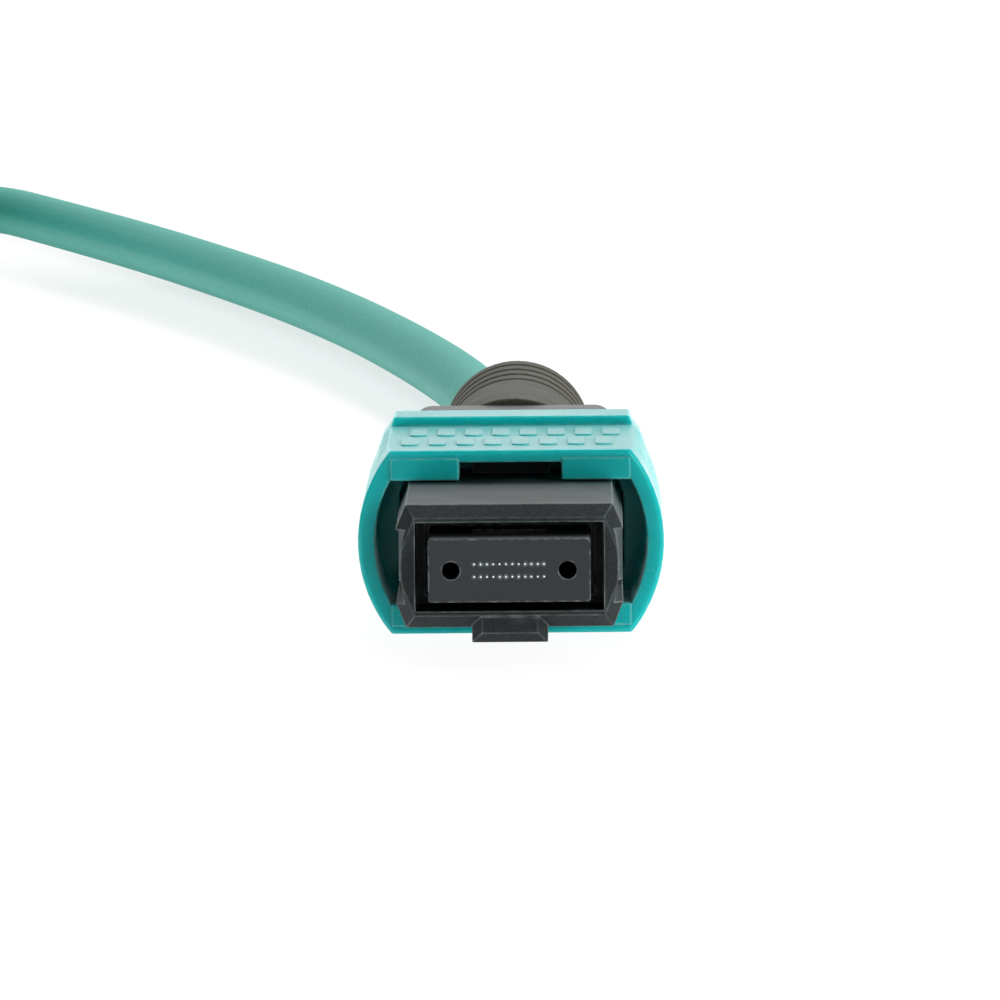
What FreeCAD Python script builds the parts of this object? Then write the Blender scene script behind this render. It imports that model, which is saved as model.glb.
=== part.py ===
import FreeCAD, Part
import math
import os
from types import SimpleNamespace

import Sketcher
from FreeCAD import Placement, Rotation, Vector

# A 24-fibre push-on multi-fibre connector on a short round cable, with the same connector on the
# cable's other end. Millimetres. The origin is the centre of the ferrule's polished end face, the
# mating axis is Y with the front at -Y, the key is below, and the cable leaves towards +Y.

DOC = FreeCAD.newDocument("fibre_connector")
SHEET = DOC.addObject("Spreadsheet::Sheet", "Sizes")

DRIVING_SIZES = {
    # ferrule and fibres
    "ferrule_width": 6.4,
    "ferrule_height": 2.5,
    "ferrule_length": 8.0,
    "flange_play": 0.15,
    "flange_length": 2.5,
    "guide_hole_bore": 0.7,
    "guide_hole_pitch": 4.6,
    "fibre_thickness": 0.125,
    "fibre_play": 0.002,
    "fibre_pitch": 0.25,
    "fibre_row_pitch": 0.5,
    "fibres_per_row": 12,
    "ribbon_width": 3.1,
    "ribbon_thickness": 0.3,
    "ribbon_play": 0.04,
    "fibre_boot_width": 3.3,
    "fibre_boot_height": 1.4,
    "fibre_boot_length": 4.2,
    "fibre_pocket_depth": 3.2,
    "window_width": 3.0,
    "window_length": 1.9,
    "window_from_face": 2.2,
    "window_depth": 0.5,
    # inner housing
    "housing_setback": 1.5,
    "housing_width": 9.0,
    "housing_height": 4.88,
    "housing_length": 21.5,
    "housing_corner_run": 0.4,
    "housing_bevel": 0.5,
    "mouth_side_wall": 0.775,
    "mouth_roof": 0.69,
    "mouth_depth": 3.0,
    "ledge_play": 0.15,
    "bay_wall": 0.65,
    "latch_channel_height": 2.88,
    "latch_channel_depth": 0.37,
    "latch_floor_crown": 0.2,
    "latch_channel_length": 11.1,
    "catch_from_front": 5.7,
    "catch_length": 2.1,
    "catch_ramp": 1.6,
    "key_width": 3.0,
    "key_step": 0.6,
    "key_length": 11.4,
    "key_bevel": 0.4,
    "stop_width": 3.2,
    "stop_reach": 0.6,
    "stop_length": 1.35,
    "window_gap": 0.15,
    # coupling sleeve
    "sleeve_from_face": 11.6,
    "sleeve_length": 14.4,
    "sleeve_side_room": 1.7,
    "sleeve_top_room": 1.29,
    "sleeve_flat_room": 0.35,
    "sleeve_flat_wall": 0.5,
    "sleeve_side_wall": 0.68,
    "sleeve_travel": 2.0,
    "rail_gap": 4.14,
    "rail_setback": 0.25,
    "rail_length": 10.2,
    "rail_play": 0.07,
    "lip_rise": 0.4,
    "lip_length": 3.05,
    "rim_bevel": 0.12,
    "grip_groove_width": 0.45,
    "grip_groove_depth": 0.18,
    "grip_groove_pitch": 1.25,
    "grip_groove_count": 8,
    "grip_from_front": 2.0,
    "spring_seat_length": 1.2,
    "spring_spare_length": 1.4,
    "spring_channel_depth": 0.23,
    # springs
    "sleeve_spring_width": 1.06,
    "sleeve_spring_wire": 0.2,
    "sleeve_spring_turns": 6,
    "ferrule_spring_side_room": 0.8,
    "ferrule_spring_top_room": 0.29,
    "ferrule_spring_wire": 0.4,
    "ferrule_spring_turns": 5,
    "spring_play": 0.05,
    "ferrule_travel": 0.8,
    # pin clamp and crimp body
    "clamp_play": 0.25,
    "clamp_length": 2.75,
    "passage_play": 0.15,
    "ferrule_spring_spare_length": 3.0,
    "plug_play": 0.1,
    "arm_length": 4.4,
    "arm_thickness": 0.5,
    "arm_height": 2.2,
    "hook_reach": 0.5,
    "hook_length": 1.7,
    "ear_height": 4.6,
    "ear_play": 0.12,
    "ear_thickness": 1.6,
    "neck_step": 0.5,
    "neck_height": 4.6,
    "block_gap": 0.9,
    "block_step": 0.25,
    "block_height": 7.3,
    "block_length": 6.1,
    "block_rounding": 0.8,
    "barrel_width": 4.3,
    "barrel_length": 6.0,
    "knurl_depth": 0.12,
    "knurl_width": 0.35,
    "knurl_pitch": 2.4,
    "knurl_count": 2,
    "yarn_thickness": 0.26,
    # crimp ring, boot and cable
    "ring_wall": 0.4,
    "ring_play": 0.03,
    "ring_tail_length": 3.6,
    "ring_step_length": 0.7,
    "boot_length": 27.0,
    "boot_front_width": 7.7,
    "boot_front_length": 3.0,
    "boot_rear_width": 6.4,
    "boot_socket_play": 0.1,
    "boot_bore_play": 0.1,
    "boot_groove_width": 0.9,
    "boot_groove_depth": 0.55,
    "boot_ring_pitch": 2.6,
    "boot_ring_count": 4,
    "cable_thickness": 3.0,
    "coil_radius": 16.5,
    "coil_turns_wide": 3,
    "coil_turns_high": 2,
    "tie_width": 5.0,
    "tie_thickness": 0.6,
}

# The cable's course between the two connectors, as chosen points of its centreline.
LEAD_COURSE = [(0.0, 69.0), (-0.9, 97.5), (-3.8, 128.0), (-11.0, 172.0), (-21.4, 216.0), (-30.0, 246.5)]
COIL_CENTRE = (-57.0, 254.0)
COIL_ENTRY_DEG = 60.0
COIL_EXIT_DEG = 190.0
LAST_RUN = 14.0
TIE_DEG = -60.0
FAR_PLACE = (-72.0, 131.0)
TAIL_RUNS = (27.0, 24.0)
TAIL_FALL = 1.7


class Size:
    """A length: its value in millimetres and the sheet formula that gives it."""

    def __init__(self, value, formula):
        self.value = float(value)
        self.formula = formula

    def __add__(self, other):
        return worked_out(self, "+", other)

    def __radd__(self, other):
        return worked_out(other, "+", self)

    def __sub__(self, other):
        return worked_out(self, "-", other)

    def __rsub__(self, other):
        return worked_out(other, "-", self)

    def __mul__(self, other):
        return worked_out(self, "*", other)

    def __rmul__(self, other):
        return worked_out(other, "*", self)

    def __truediv__(self, other):
        return worked_out(self, "/", other)

    def __neg__(self):
        return worked_out(0.0, "-", self)

    def root(self):
        return Size(math.sqrt(self.value), f"sqrt({self.formula})")


OPERATIONS = {
    "+": lambda a, b: a + b,
    "-": lambda a, b: a - b,
    "*": lambda a, b: a * b,
    "/": lambda a, b: a / b,
}


def as_size(number):
    return number if isinstance(number, Size) else Size(number, f"{float(number):.6f}")


def worked_out(first, sign, second):
    a = as_size(first)
    b = as_size(second)
    return Size(OPERATIONS[sign](a.value, b.value), f"({a.formula} {sign} {b.formula})")


def filled_sheet():
    for row, (name, value) in enumerate(DRIVING_SIZES.items(), start=1):
        SHEET.set(f"A{row}", name)
        SHEET.set(f"B{row}", str(value))
        SHEET.setAlias(f"B{row}", name)
    DOC.recompute()
    return SimpleNamespace(**{name: Size(SHEET.get(name), f"Sizes.{name}") for name in DRIVING_SIZES})


S = filled_sheet()


def bind(feature, prop, size):
    feature.setExpression(prop, as_size(size).formula)


# ---------------------------------------------------------------- places along the mating axis

FLANGE_FRONT = S.ferrule_length - S.flange_length
LEDGE_REAR = FLANGE_FRONT - S.spring_play * 2
MOUTH_REAR = S.housing_setback + S.mouth_depth
HOUSING_REAR = S.housing_setback + S.housing_length
CLAMP_FRONT = S.ferrule_length + S.spring_play
CLAMP_REAR = CLAMP_FRONT + S.clamp_length
FERRULE_SPRING_SOLID = S.ferrule_spring_wire * (S.ferrule_spring_turns + 2)
PLUG_FRONT = CLAMP_REAR + FERRULE_SPRING_SOLID + S.ferrule_travel + S.ferrule_spring_spare_length
ARM_FRONT = PLUG_FRONT - S.arm_length
EAR_REAR = HOUSING_REAR + S.ear_thickness
SLEEVE_REAR = S.sleeve_from_face + S.sleeve_length
BLOCK_FRONT = SLEEVE_REAR + S.sleeve_travel + S.block_gap
BLOCK_REAR = BLOCK_FRONT + S.block_length
BARREL_REAR = BLOCK_REAR + S.barrel_length
BOOT_REAR = BLOCK_REAR + S.boot_length
SPRING_SOLID = S.sleeve_spring_wire * (S.sleeve_spring_turns + 2)
SPRING_FRONT = HOUSING_REAR - S.sleeve_travel - SPRING_SOLID - S.spring_spare_length
SEAT_FRONT = SPRING_FRONT - S.spring_seat_length
STOP_FRONT = SEAT_FRONT - S.spring_play - S.stop_length
SLEEVE_WIDTH = S.housing_width + S.sleeve_side_room * 2
SLEEVE_HEIGHT = S.housing_height + S.sleeve_top_room * 2
SLEEVE_FLAT_WIDTH = S.housing_width + S.sleeve_flat_room * 2
RESTING_HEIGHT = SLEEVE_HEIGHT / 2 + S.lip_rise

MOUTH_WIDTH = S.housing_width - S.mouth_side_wall * 2
MOUTH_HEIGHT = S.housing_height - S.mouth_roof * 2
KEY_DROP = S.housing_height / 2 + S.key_step
BAY_WIDTH = S.housing_width - S.bay_wall * 2
BAY_HEIGHT = S.housing_height - S.bay_wall * 2
FLANGE_WIDTH = BAY_WIDTH - S.flange_play * 2
FLANGE_HEIGHT = BAY_HEIGHT - S.flange_play * 4
CLAMP_WIDTH = BAY_WIDTH - S.clamp_play * 2
CLAMP_HEIGHT = BAY_HEIGHT - S.clamp_play * 2
NECK_WIDTH = S.housing_width - S.neck_step * 2
BLOCK_WIDTH = S.housing_width - S.block_step * 2
FERRULE_SPRING_WIDTH = BAY_WIDTH - S.ferrule_spring_side_room * 2
FERRULE_SPRING_HEIGHT = BAY_HEIGHT - S.ferrule_spring_top_room * 2
PASSAGE_WIDTH = S.ribbon_width + S.passage_play * 2
PASSAGE_HEIGHT = S.fibre_row_pitch + S.ribbon_thickness + S.passage_play * 3
RING_BORE = S.barrel_width / 2 + S.yarn_thickness + S.ring_play
RING_OUTSIDE = RING_BORE + S.ring_wall
RING_FRONT = BLOCK_REAR + S.knurl_width
RING_SHOULDER = BARREL_REAR + S.knurl_width
TAIL_FRONT = RING_SHOULDER + S.ring_step_length
RING_REAR = TAIL_FRONT + S.ring_tail_length
TAIL_BORE = S.cable_thickness / 2 + S.ring_play


# ---------------------------------------------------------------- drawing helpers

AXIS_OF_PLANE = {"XZ_Plane": -1.0, "XY_Plane": 1.0, "YZ_Plane": 1.0}


def new_body(name):
    body = DOC.addObject("PartDesign::Body", name)
    body.Label = name
    return body


def plane_of(body, role):
    return next(item for item in body.Origin.OriginFeatures if item.Role == role)


def new_sketch(body, name, role, start):
    """A sketch on the plane with this role, moved along the plane's own axis to start."""
    sketch = body.newObject("Sketcher::SketchObject", name)
    sketch.AttachmentSupport = [(plane_of(body, role), "")]
    sketch.MapMode = "FlatFace"
    bind(sketch, "AttachmentOffset.Base.z", as_size(start) * AXIS_OF_PLANE[role])
    return sketch


def hold_point(sketch, geometry, vertex, corner):
    """Ties one vertex to its two coordinates, given as sizes or as a plain 0."""
    for axis, kind, coordinate in ((-2, "DistanceX", corner[0]), (-1, "DistanceY", corner[1])):
        place = as_size(coordinate)
        if abs(place.value) < 1e-9:
            sketch.addConstraint(Sketcher.Constraint("PointOnObject", geometry, vertex, axis))
        else:
            rule = sketch.addConstraint(
                Sketcher.Constraint(kind, -1, 1, geometry, vertex, place.value)
            )
            sketch.setExpression(f"Constraints[{rule}]", place.formula)


def draw_outline(sketch, corners, arcs=None):
    """A closed outline through corners. arcs maps an edge's number to its centre's x and its turn."""
    arcs = arcs or {}
    points = [Vector(as_size(x).value, as_size(y).value, 0) for x, y in corners]
    ends = []
    for number, start in enumerate(points):
        end = points[(number + 1) % len(points)]
        if number in arcs:
            centre_x, turn = arcs[number]
            centre = Vector(as_size(centre_x).value, 0, 0)
            first, last = (start, end) if turn > 0 else (end, start)
            angles = [math.atan2(p.y - centre.y, p.x - centre.x) for p in (first, last)]
            circle = Part.Circle(centre, Vector(0, 0, 1), (start - centre).Length)
            edge = sketch.addGeometry(Part.ArcOfCircle(circle, *angles), False)
            ends.append((edge, 1, 2) if turn > 0 else (edge, 2, 1))
        else:
            edge = sketch.addGeometry(Part.LineSegment(start, end), False)
            ends.append((edge, 1, 2))
    for number, (edge, first, last) in enumerate(ends):
        following, its_first, _ = ends[(number + 1) % len(ends)]
        sketch.addConstraint(Sketcher.Constraint("Coincident", edge, last, following, its_first))
    for (edge, first, _), corner in zip(ends, corners):
        hold_point(sketch, edge, first, corner)
    for number, (centre_x, _) in arcs.items():
        edge = ends[number][0]
        place = as_size(centre_x)
        rule = sketch.addConstraint(Sketcher.Constraint("DistanceX", -1, 1, edge, 3, place.value))
        sketch.setExpression(f"Constraints[{rule}]", place.formula)


def box_corners(low_x, high_x, low_y, high_y):
    return [(low_x, low_y), (high_x, low_y), (high_x, high_y), (low_x, high_y)]


def centred(width, height):
    return box_corners(-width / 2, width / 2, -height / 2, height / 2)


def prism(body, name, corners, start, length, role="XZ_Plane", cut=False, arcs=None):
    """A straight piece of the outlined section, from start along the plane's positive axis."""
    sketch = new_sketch(body, f"{name}_outline", role, start)
    draw_outline(sketch, corners, arcs)
    DOC.recompute()
    feature = body.newObject("PartDesign::Pocket" if cut else "PartDesign::Pad", name)
    feature.Profile = sketch
    bind(feature, "Length", length)
    feature.Reversed = (AXIS_OF_PLANE[role] < 0) != cut
    return settled(body, feature, cut)


def settled(body, feature, cut):
    """Recomputes after a feature and makes sure that it added or took away material."""
    before = getattr(body, "Shape", None)
    volume = before.Volume if before and not before.isNull() else 0.0
    body.Tip = feature
    DOC.recompute()
    change = body.Shape.Volume - volume
    if (change < 0) != cut or abs(change) < 1e-7:
        raise RuntimeError(f"{body.Label}: {feature.Label} changed the volume by {change:.6f}")
    return feature


def bored(body, name, places, radius, start, length):
    """Round holes along Y at the given places across the section."""
    sketch = new_sketch(body, f"{name}_outline", "XZ_Plane", start)
    for x, z in places:
        circle = Part.Circle(Vector(as_size(x).value, as_size(z).value, 0), Vector(0, 0, 1), radius.value)
        edge = sketch.addGeometry(circle, False)
        hold_point(sketch, edge, 3, (x, z))
        rule = sketch.addConstraint(Sketcher.Constraint("Radius", edge, radius.value))
        sketch.setExpression(f"Constraints[{rule}]", radius.formula)
    DOC.recompute()
    feature = body.newObject("PartDesign::Pocket", name)
    feature.Profile = sketch
    bind(feature, "Length", length)
    return settled(body, feature, True)


def turned(body, name, corners, role="XY_Plane", angle=360.0, cut=False):
    """A solid turned about the sketch's upright axis from its half section, radius first."""
    sketch = new_sketch(body, f"{name}_outline", role, 0.0)
    draw_outline(sketch, corners)
    DOC.recompute()
    feature = body.newObject("PartDesign::Groove" if cut else "PartDesign::Revolution", name)
    feature.Profile = sketch
    feature.ReferenceAxis = (sketch, ["V_Axis"])
    feature.Angle = angle
    return settled(body, feature, cut)


def mirrored(body, name, features, role="YZ_Plane", cut=False):
    mirror = body.newObject("PartDesign::Mirrored", name)
    mirror.Originals = features
    mirror.MirrorPlane = (plane_of(body, role), [""])
    return settled(body, mirror, cut)


def repeated(body, name, features, pitch, count, cut=True):
    """The features again and again along Y, a pitch apart."""
    row = body.newObject("PartDesign::LinearPattern", name)
    row.Originals = features
    row.Direction = (plane_of(body, "Y_Axis"), [""])
    row.Mode = "Spacing"
    bind(row, "Offset", pitch)
    bind(row, "Occurrences", count)
    return settled(body, row, cut)


def edges_where(shape, wanted):
    """Names of the edges whose middle and direction satisfy wanted(middle, direction)."""
    names = []
    for number, edge in enumerate(shape.Edges, start=1):
        middle = edge.valueAt((edge.FirstParameter + edge.LastParameter) / 2)
        along = edge.tangentAt((edge.FirstParameter + edge.LastParameter) / 2)
        if wanted(middle, along):
            names.append(f"Edge{number}")
    return names


def dressed(body, kind, name, size, wanted):
    """A Fillet or Chamfer on the body's present edges that are wanted."""
    base = body.Tip
    feature = body.newObject(f"PartDesign::{kind}", name)
    feature.Base = (base, edges_where(base.Shape, wanted))
    bind(feature, "Radius" if kind == "Fillet" else "Size", size)
    return settled(body, feature, True)


# ---------------------------------------------------------------- inner housing

def housing_sections():
    """The housing's section with its two latch channels, and the plain one behind them."""
    side = S.housing_width / 2
    top = S.housing_height / 2
    flat = side - S.housing_corner_run
    brow = S.latch_channel_height / 2
    floor = side - S.latch_channel_depth
    plain = [
        (-flat, -top), (flat, -top), (side, -brow), (side, brow),
        (flat, top), (-flat, top), (-side, brow), (-side, -brow),
    ]
    channelled = [
        (-flat, -top), (flat, -top), (side, -brow), (floor, -brow), (floor, brow), (side, brow),
        (flat, top), (-flat, top), (-side, brow), (-floor, brow), (-floor, -brow), (-side, -brow),
    ]
    crown = S.latch_floor_crown
    radius = (brow * brow + crown * crown) / (crown * 2)
    centre = floor + crown - radius
    return channelled, {3: (centre, 1), 9: (-centre, 1)}, plain


def inner_housing(name):
    """The moulded plug body: mouth, ferrule ledge, latch channels, catches, key and sleeve stops."""
    body = new_body(name)
    side = S.housing_width / 2
    top = S.housing_height / 2
    front = S.housing_setback
    channelled, arcs, plain = housing_sections()
    prism(body, "nose", channelled, front, S.latch_channel_length, arcs=arcs)
    prism(body, "shank", plain, front + S.latch_channel_length, S.housing_length - S.latch_channel_length)
    prism(body, "mouth", centred(MOUTH_WIDTH, MOUTH_HEIGHT), front, S.mouth_depth, cut=True)
    throat = centred(S.ferrule_width + S.ledge_play * 2, S.ferrule_height + S.ledge_play * 2)
    prism(body, "throat", throat, MOUTH_REAR, LEDGE_REAR - MOUTH_REAR, cut=True)
    prism(body, "bay", centred(BAY_WIDTH, BAY_HEIGHT), LEDGE_REAR, HOUSING_REAR - LEDGE_REAR, cut=True)

    root = side - S.latch_channel_depth - S.latch_floor_crown
    catch_front = front + S.catch_from_front
    catch_rear = catch_front + S.catch_length
    wedge = [
        (root, catch_front), (root + S.latch_floor_crown, catch_front),
        (side, catch_front + S.catch_ramp), (side, catch_rear), (root, catch_rear),
    ]
    height = S.latch_channel_height - S.latch_channel_depth
    catch = prism(body, "catch", wedge, -height / 2, height, role="XY_Plane")
    mirrored(body, "catch_pair", [catch])

    stop = box_corners(-S.stop_width / 2, S.stop_width / 2, top - S.window_gap, top + S.stop_reach)
    stop_pad = prism(body, "sleeve_stop", stop, STOP_FRONT, S.stop_length)
    mirrored(body, "sleeve_stop_pair", [stop_pad], role="XY_Plane")

    half_window = S.arm_height / 2 + S.window_gap
    window = box_corners(
        ARM_FRONT - S.window_gap, ARM_FRONT + S.hook_length + S.window_gap, -half_window, half_window
    )
    prism(body, "arm_windows", window, -S.housing_width, S.housing_width * 2, role="YZ_Plane", cut=True)

    brow = S.latch_channel_height.value / 2
    dressed(body, "Chamfer", "front_bevel", S.housing_bevel, lambda middle, along: (
        abs(middle.y - front.value) < 1e-4
        and abs(along.y) < 1e-3
        and on_shoulder(middle, side.value, top.value, brow)
    ))
    key = box_corners(-S.key_width / 2, S.key_width / 2, -KEY_DROP, -(MOUTH_HEIGHT + top) / 3)
    prism(body, "key", key, front, S.key_length)
    dressed(body, "Chamfer", "key_bevel", S.key_bevel, lambda middle, along: (
        abs(middle.y - front.value) < 1e-4
        and (abs(middle.z + KEY_DROP.value) < 1e-4 or (
            abs(abs(middle.x) - S.key_width.value / 2) < 1e-4 and middle.z < -top.value
        ))
    ))
    return body


def on_shoulder(middle, side, top, brow):
    """True on the outline's flat top and bottom and on its four sloping corners."""
    if abs(abs(middle.z) - top) < 1e-4:
        return True
    slope_x = side - S.housing_corner_run.value / 2
    slope_z = (top + brow) / 2
    return abs(abs(middle.x) - slope_x) < 1e-3 and abs(abs(middle.z) - slope_z) < 1e-3


# ---------------------------------------------------------------- coupling sleeve

def side_arc(half_width, half_flat, half_height):
    """Radius and centre of the arc that bulges from a flat's end to the full half width."""
    bulge = half_width - half_flat
    radius = (half_height * half_height + bulge * bulge) / (bulge * 2)
    return radius, half_width - radius


def barrel_section(half_flat, half_height, centre):
    corners = box_corners(-half_flat, half_flat, -half_height, half_height)
    return corners, {1: (centre, 1), 3: (-centre, 1)}


def coupling_sleeve(name, grooved=True):
    """The grip that slides back on the housing: arched sides, rails, stop webs, spring seats, lips."""
    body = new_body(name)
    front = S.sleeve_from_face
    half_width = SLEEVE_WIDTH / 2
    half_flat = SLEEVE_FLAT_WIDTH / 2
    half_height = SLEEVE_HEIGHT / 2
    radius, centre = side_arc(half_width, half_flat, half_height)
    outside, outside_arcs = barrel_section(half_flat, half_height, centre)
    prism(body, "shell", outside, front, S.sleeve_length, arcs=outside_arcs)

    inside_radius = radius - S.sleeve_side_wall
    inside_height = half_height - S.sleeve_flat_wall
    inside_flat = centre + reach_at(inside_radius, inside_height)
    inside, inside_arcs = barrel_section(inside_flat, inside_height, centre)
    prism(body, "hollow", inside, front, S.sleeve_length, cut=True, arcs=inside_arcs)

    rail_face = S.housing_height / 2 + S.rail_play
    rail_side = centre + reach_at(inside_radius, rail_face) + S.sleeve_side_wall / 4
    rail = box_corners(S.rail_gap / 2, rail_side, rail_face, inside_height + S.sleeve_flat_wall / 2)
    for spot, outline in (
        ("upper_right", rail),
        ("upper_left", [(-x, z) for x, z in rail]),
        ("lower_right", [(x, -z) for x, z in rail]),
        ("lower_left", [(-x, -z) for x, z in rail]),
    ):
        prism(body, f"rail_{spot}", outline, front + S.rail_setback, S.rail_length)

    seat_inner = S.housing_width / 2 + S.rail_play
    seat_half = rail_face + S.sleeve_flat_wall / 4
    seat_outer = centre + reach_at(inside_radius + S.sleeve_side_wall / 2, seat_half)
    seat_corner = seat_inner - S.housing_corner_run
    brow = S.latch_channel_height / 2
    seat = [
        (seat_corner, -seat_half), (seat_outer, -seat_half), (seat_outer, seat_half),
        (seat_corner, seat_half), (seat_inner, brow), (seat_inner, -brow),
    ]
    seat_pad = prism(body, "spring_seat", seat, SEAT_FRONT, S.spring_seat_length, arcs={1: (centre, 1)})
    mirrored(body, "spring_seat_pair", [seat_pad])
    web_side = (S.rail_gap + S.sleeve_flat_wall) / 2
    web = box_corners(-web_side, web_side, rail_face, inside_height + S.sleeve_flat_wall / 2)
    web_pad = prism(body, "stop_web", web, SEAT_FRONT, S.spring_seat_length)
    mirrored(body, "stop_web_pair", [web_pad], role="XY_Plane")
    channel_side = half_width - S.sleeve_side_wall + S.spring_channel_depth
    channel = centred(channel_side * 2, S.sleeve_spring_width + S.spring_play * 8)
    prism(body, "spring_channels", channel, SPRING_FRONT, SLEEVE_REAR - SPRING_FRONT, cut=True)

    lip = box_corners(-half_flat, half_flat, half_height - S.sleeve_flat_wall / 2, RESTING_HEIGHT)
    lip_front = SLEEVE_REAR - S.lip_length
    prism(body, "upper_lip", lip, lip_front, S.lip_length)
    prism(body, "lower_lip", [(x, -z) for x, z in lip], lip_front, S.lip_length)

    dressed(body, "Chamfer", "rim_bevel", S.rim_bevel, lambda middle, along: (
        abs(middle.y - front.value) < 1e-4
        and (abs(abs(middle.z) - half_height.value) < 1e-3 or abs(abs(middle.x) - half_width.value) < 1e-3)
    ))
    if grooved:
        grip_grooves(body, half_width, half_height, radius, centre)
    return body


def reach_at(radius, height):
    """How far across an arc of this radius reaches at a height above its centre."""
    return (radius * radius - height * height).root()


def grip_grooves(body, half_width, half_height, radius, centre):
    """Fine grooves down both arched sides for the fingers, repeated towards the rear."""
    floor = radius - S.grip_groove_depth
    tall = half_height + S.grip_groove_depth
    root = centre + reach_at(floor, tall)
    beyond = half_width + S.grip_groove_width
    start = S.sleeve_from_face + S.grip_from_front
    right = [(root, -tall), (beyond, -tall), (beyond, tall), (root, tall)]
    groove = prism(
        body, "grip_groove", right, start, S.grip_groove_width, cut=True, arcs={3: (centre, -1)}
    )
    left = [(-x, z) for x, z in right]
    other = prism(
        body, "grip_groove_left", left, start, S.grip_groove_width, cut=True, arcs={3: (-centre, 1)}
    )
    repeated(body, "grip", [groove, other], S.grip_groove_pitch, S.grip_groove_count)


# ---------------------------------------------------------------- ferrule and what rides with it

FIBRE_SIDES = 8


def many_sided(x, z, radius):
    """Corners of a small regular polygon that stands for a circle as thin as a fibre."""
    corners = []
    for number in range(FIBRE_SIDES):
        angle = 2 * math.pi * number / FIBRE_SIDES
        corners.append((x + radius * round(math.cos(angle), 9), z + radius * round(math.sin(angle), 9)))
    return corners


def ferrule(name, fibre_holes=True):
    """The moulded block that holds the fibre ends between its two guide-pin holes."""
    body = new_body(name)
    prism(body, "block", centred(S.ferrule_width, S.ferrule_height), 0.0, S.ferrule_length)
    prism(body, "flange", centred(FLANGE_WIDTH, FLANGE_HEIGHT), FLANGE_FRONT, S.flange_length)
    pocket = centred(S.fibre_boot_width + S.ribbon_play * 2, S.fibre_boot_height + S.ribbon_play * 2)
    pocket_front = S.ferrule_length - S.fibre_pocket_depth
    prism(body, "ribbon_pocket", pocket, pocket_front, S.fibre_pocket_depth, cut=True)
    window = box_corners(
        -S.window_width / 2, S.window_width / 2, S.window_from_face, S.window_from_face + S.window_length
    )
    window_floor = S.ferrule_height / 2 - S.window_depth
    prism(body, "glue_window", window, window_floor, S.ferrule_height, role="XY_Plane", cut=True)
    across = S.guide_hole_pitch / 2
    bored(body, "guide_holes", [(-across, 0.0), (across, 0.0)], S.guide_hole_bore / 2, 0.0, S.ferrule_length)
    if fibre_holes:
        first = -S.fibre_pitch * (S.fibres_per_row - 1) / 2
        bore = S.fibre_thickness / 2 + S.fibre_play
        row = S.fibre_row_pitch / 2
        upper = prism(
            body, "upper_fibre_hole", many_sided(first, row, bore), 0.0, pocket_front, cut=True
        )
        lower = prism(
            body, "lower_fibre_hole", many_sided(first, -row, bore), 0.0, pocket_front, cut=True
        )
        pattern = body.newObject("PartDesign::LinearPattern", "fibre_hole_rows")
        pattern.Originals = [upper, lower]
        pattern.Direction = (plane_of(body, "X_Axis"), [""])
        pattern.Mode = "Spacing"
        bind(pattern, "Offset", S.fibre_pitch)
        bind(pattern, "Occurrences", S.fibres_per_row)
        settled(body, pattern, True)
    return body


def optical_fibres(name):
    """The polished fibre ends, from the ferrule's face back to the ribbons."""
    length = S.ferrule_length - S.fibre_pocket_depth + S.window_gap
    strands = []
    for row in (1, -1):
        for number in range(int(S.fibres_per_row.value)):
            strand = DOC.addObject("Part::Prism", f"{name}_{row}_{number}")
            strand.Placement.Rotation = Rotation(Vector(1, 0, 0), -90)
            strand.Polygon = FIBRE_SIDES
            bind(strand, "Circumradius", S.fibre_thickness / 2)
            bind(strand, "Height", length)
            bind(strand, "Placement.Base.x", S.fibre_pitch * (number - (S.fibres_per_row - 1) / 2))
            bind(strand, "Placement.Base.z", S.fibre_row_pitch * row / 2)
            strands.append(strand)
    bundle = DOC.addObject("Part::Compound", name)
    bundle.Label = name
    bundle.Links = strands
    DOC.recompute()
    return bundle


def ferrule_boot(name):
    """The soft grommet that guides the two ribbons into the ferrule."""
    body = new_body(name)
    start = S.ferrule_length - S.fibre_pocket_depth + S.window_depth
    prism(body, "grommet", centred(S.fibre_boot_width, S.fibre_boot_height), start, S.fibre_boot_length)
    slot = centred(
        S.ribbon_width + S.ribbon_play * 2, S.fibre_row_pitch + S.ribbon_thickness + S.ribbon_play * 2
    )
    prism(body, "ribbon_slot", slot, start, S.fibre_boot_length, cut=True)
    return body


def pin_clamp(name):
    """The keeper behind the ferrule, with two empty sockets, as a connector without pins has."""
    body = new_body(name)
    prism(body, "keeper", centred(CLAMP_WIDTH, CLAMP_HEIGHT), CLAMP_FRONT, S.clamp_length)
    clear = S.passage_play + S.ribbon_play
    passage = centred(S.fibre_boot_width + clear * 2, S.fibre_boot_height + clear * 2)
    prism(body, "boot_passage", passage, CLAMP_FRONT, S.clamp_length, cut=True)
    across = S.guide_hole_pitch / 2
    half = S.guide_hole_bore / 2 + S.ribbon_play
    outline = box_corners(across - half, across + half, -half, half)
    socket = prism(body, "pin_socket", outline, CLAMP_FRONT, S.clamp_length / 2, cut=True)
    mirrored(body, "pin_socket_pair", [socket], cut=True)
    return body


def fibre_ribbon(name, side):
    """Twelve coated fibres side by side, from the ferrule through to the cable."""
    start = S.ferrule_length - S.fibre_pocket_depth + S.window_gap
    ribbon = DOC.addObject("Part::Box", name)
    ribbon.Label = name
    bind(ribbon, "Length", S.ribbon_width)
    bind(ribbon, "Width", RING_SHOULDER - S.spring_play - start)
    bind(ribbon, "Height", S.ribbon_thickness)
    bind(ribbon, "Placement.Base.x", -S.ribbon_width / 2)
    bind(ribbon, "Placement.Base.y", start)
    bind(ribbon, "Placement.Base.z", (S.fibre_row_pitch * side - S.ribbon_thickness) / 2)
    DOC.recompute()
    return ribbon


# ---------------------------------------------------------------- springs

SIDES_PER_TURN = 10


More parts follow.
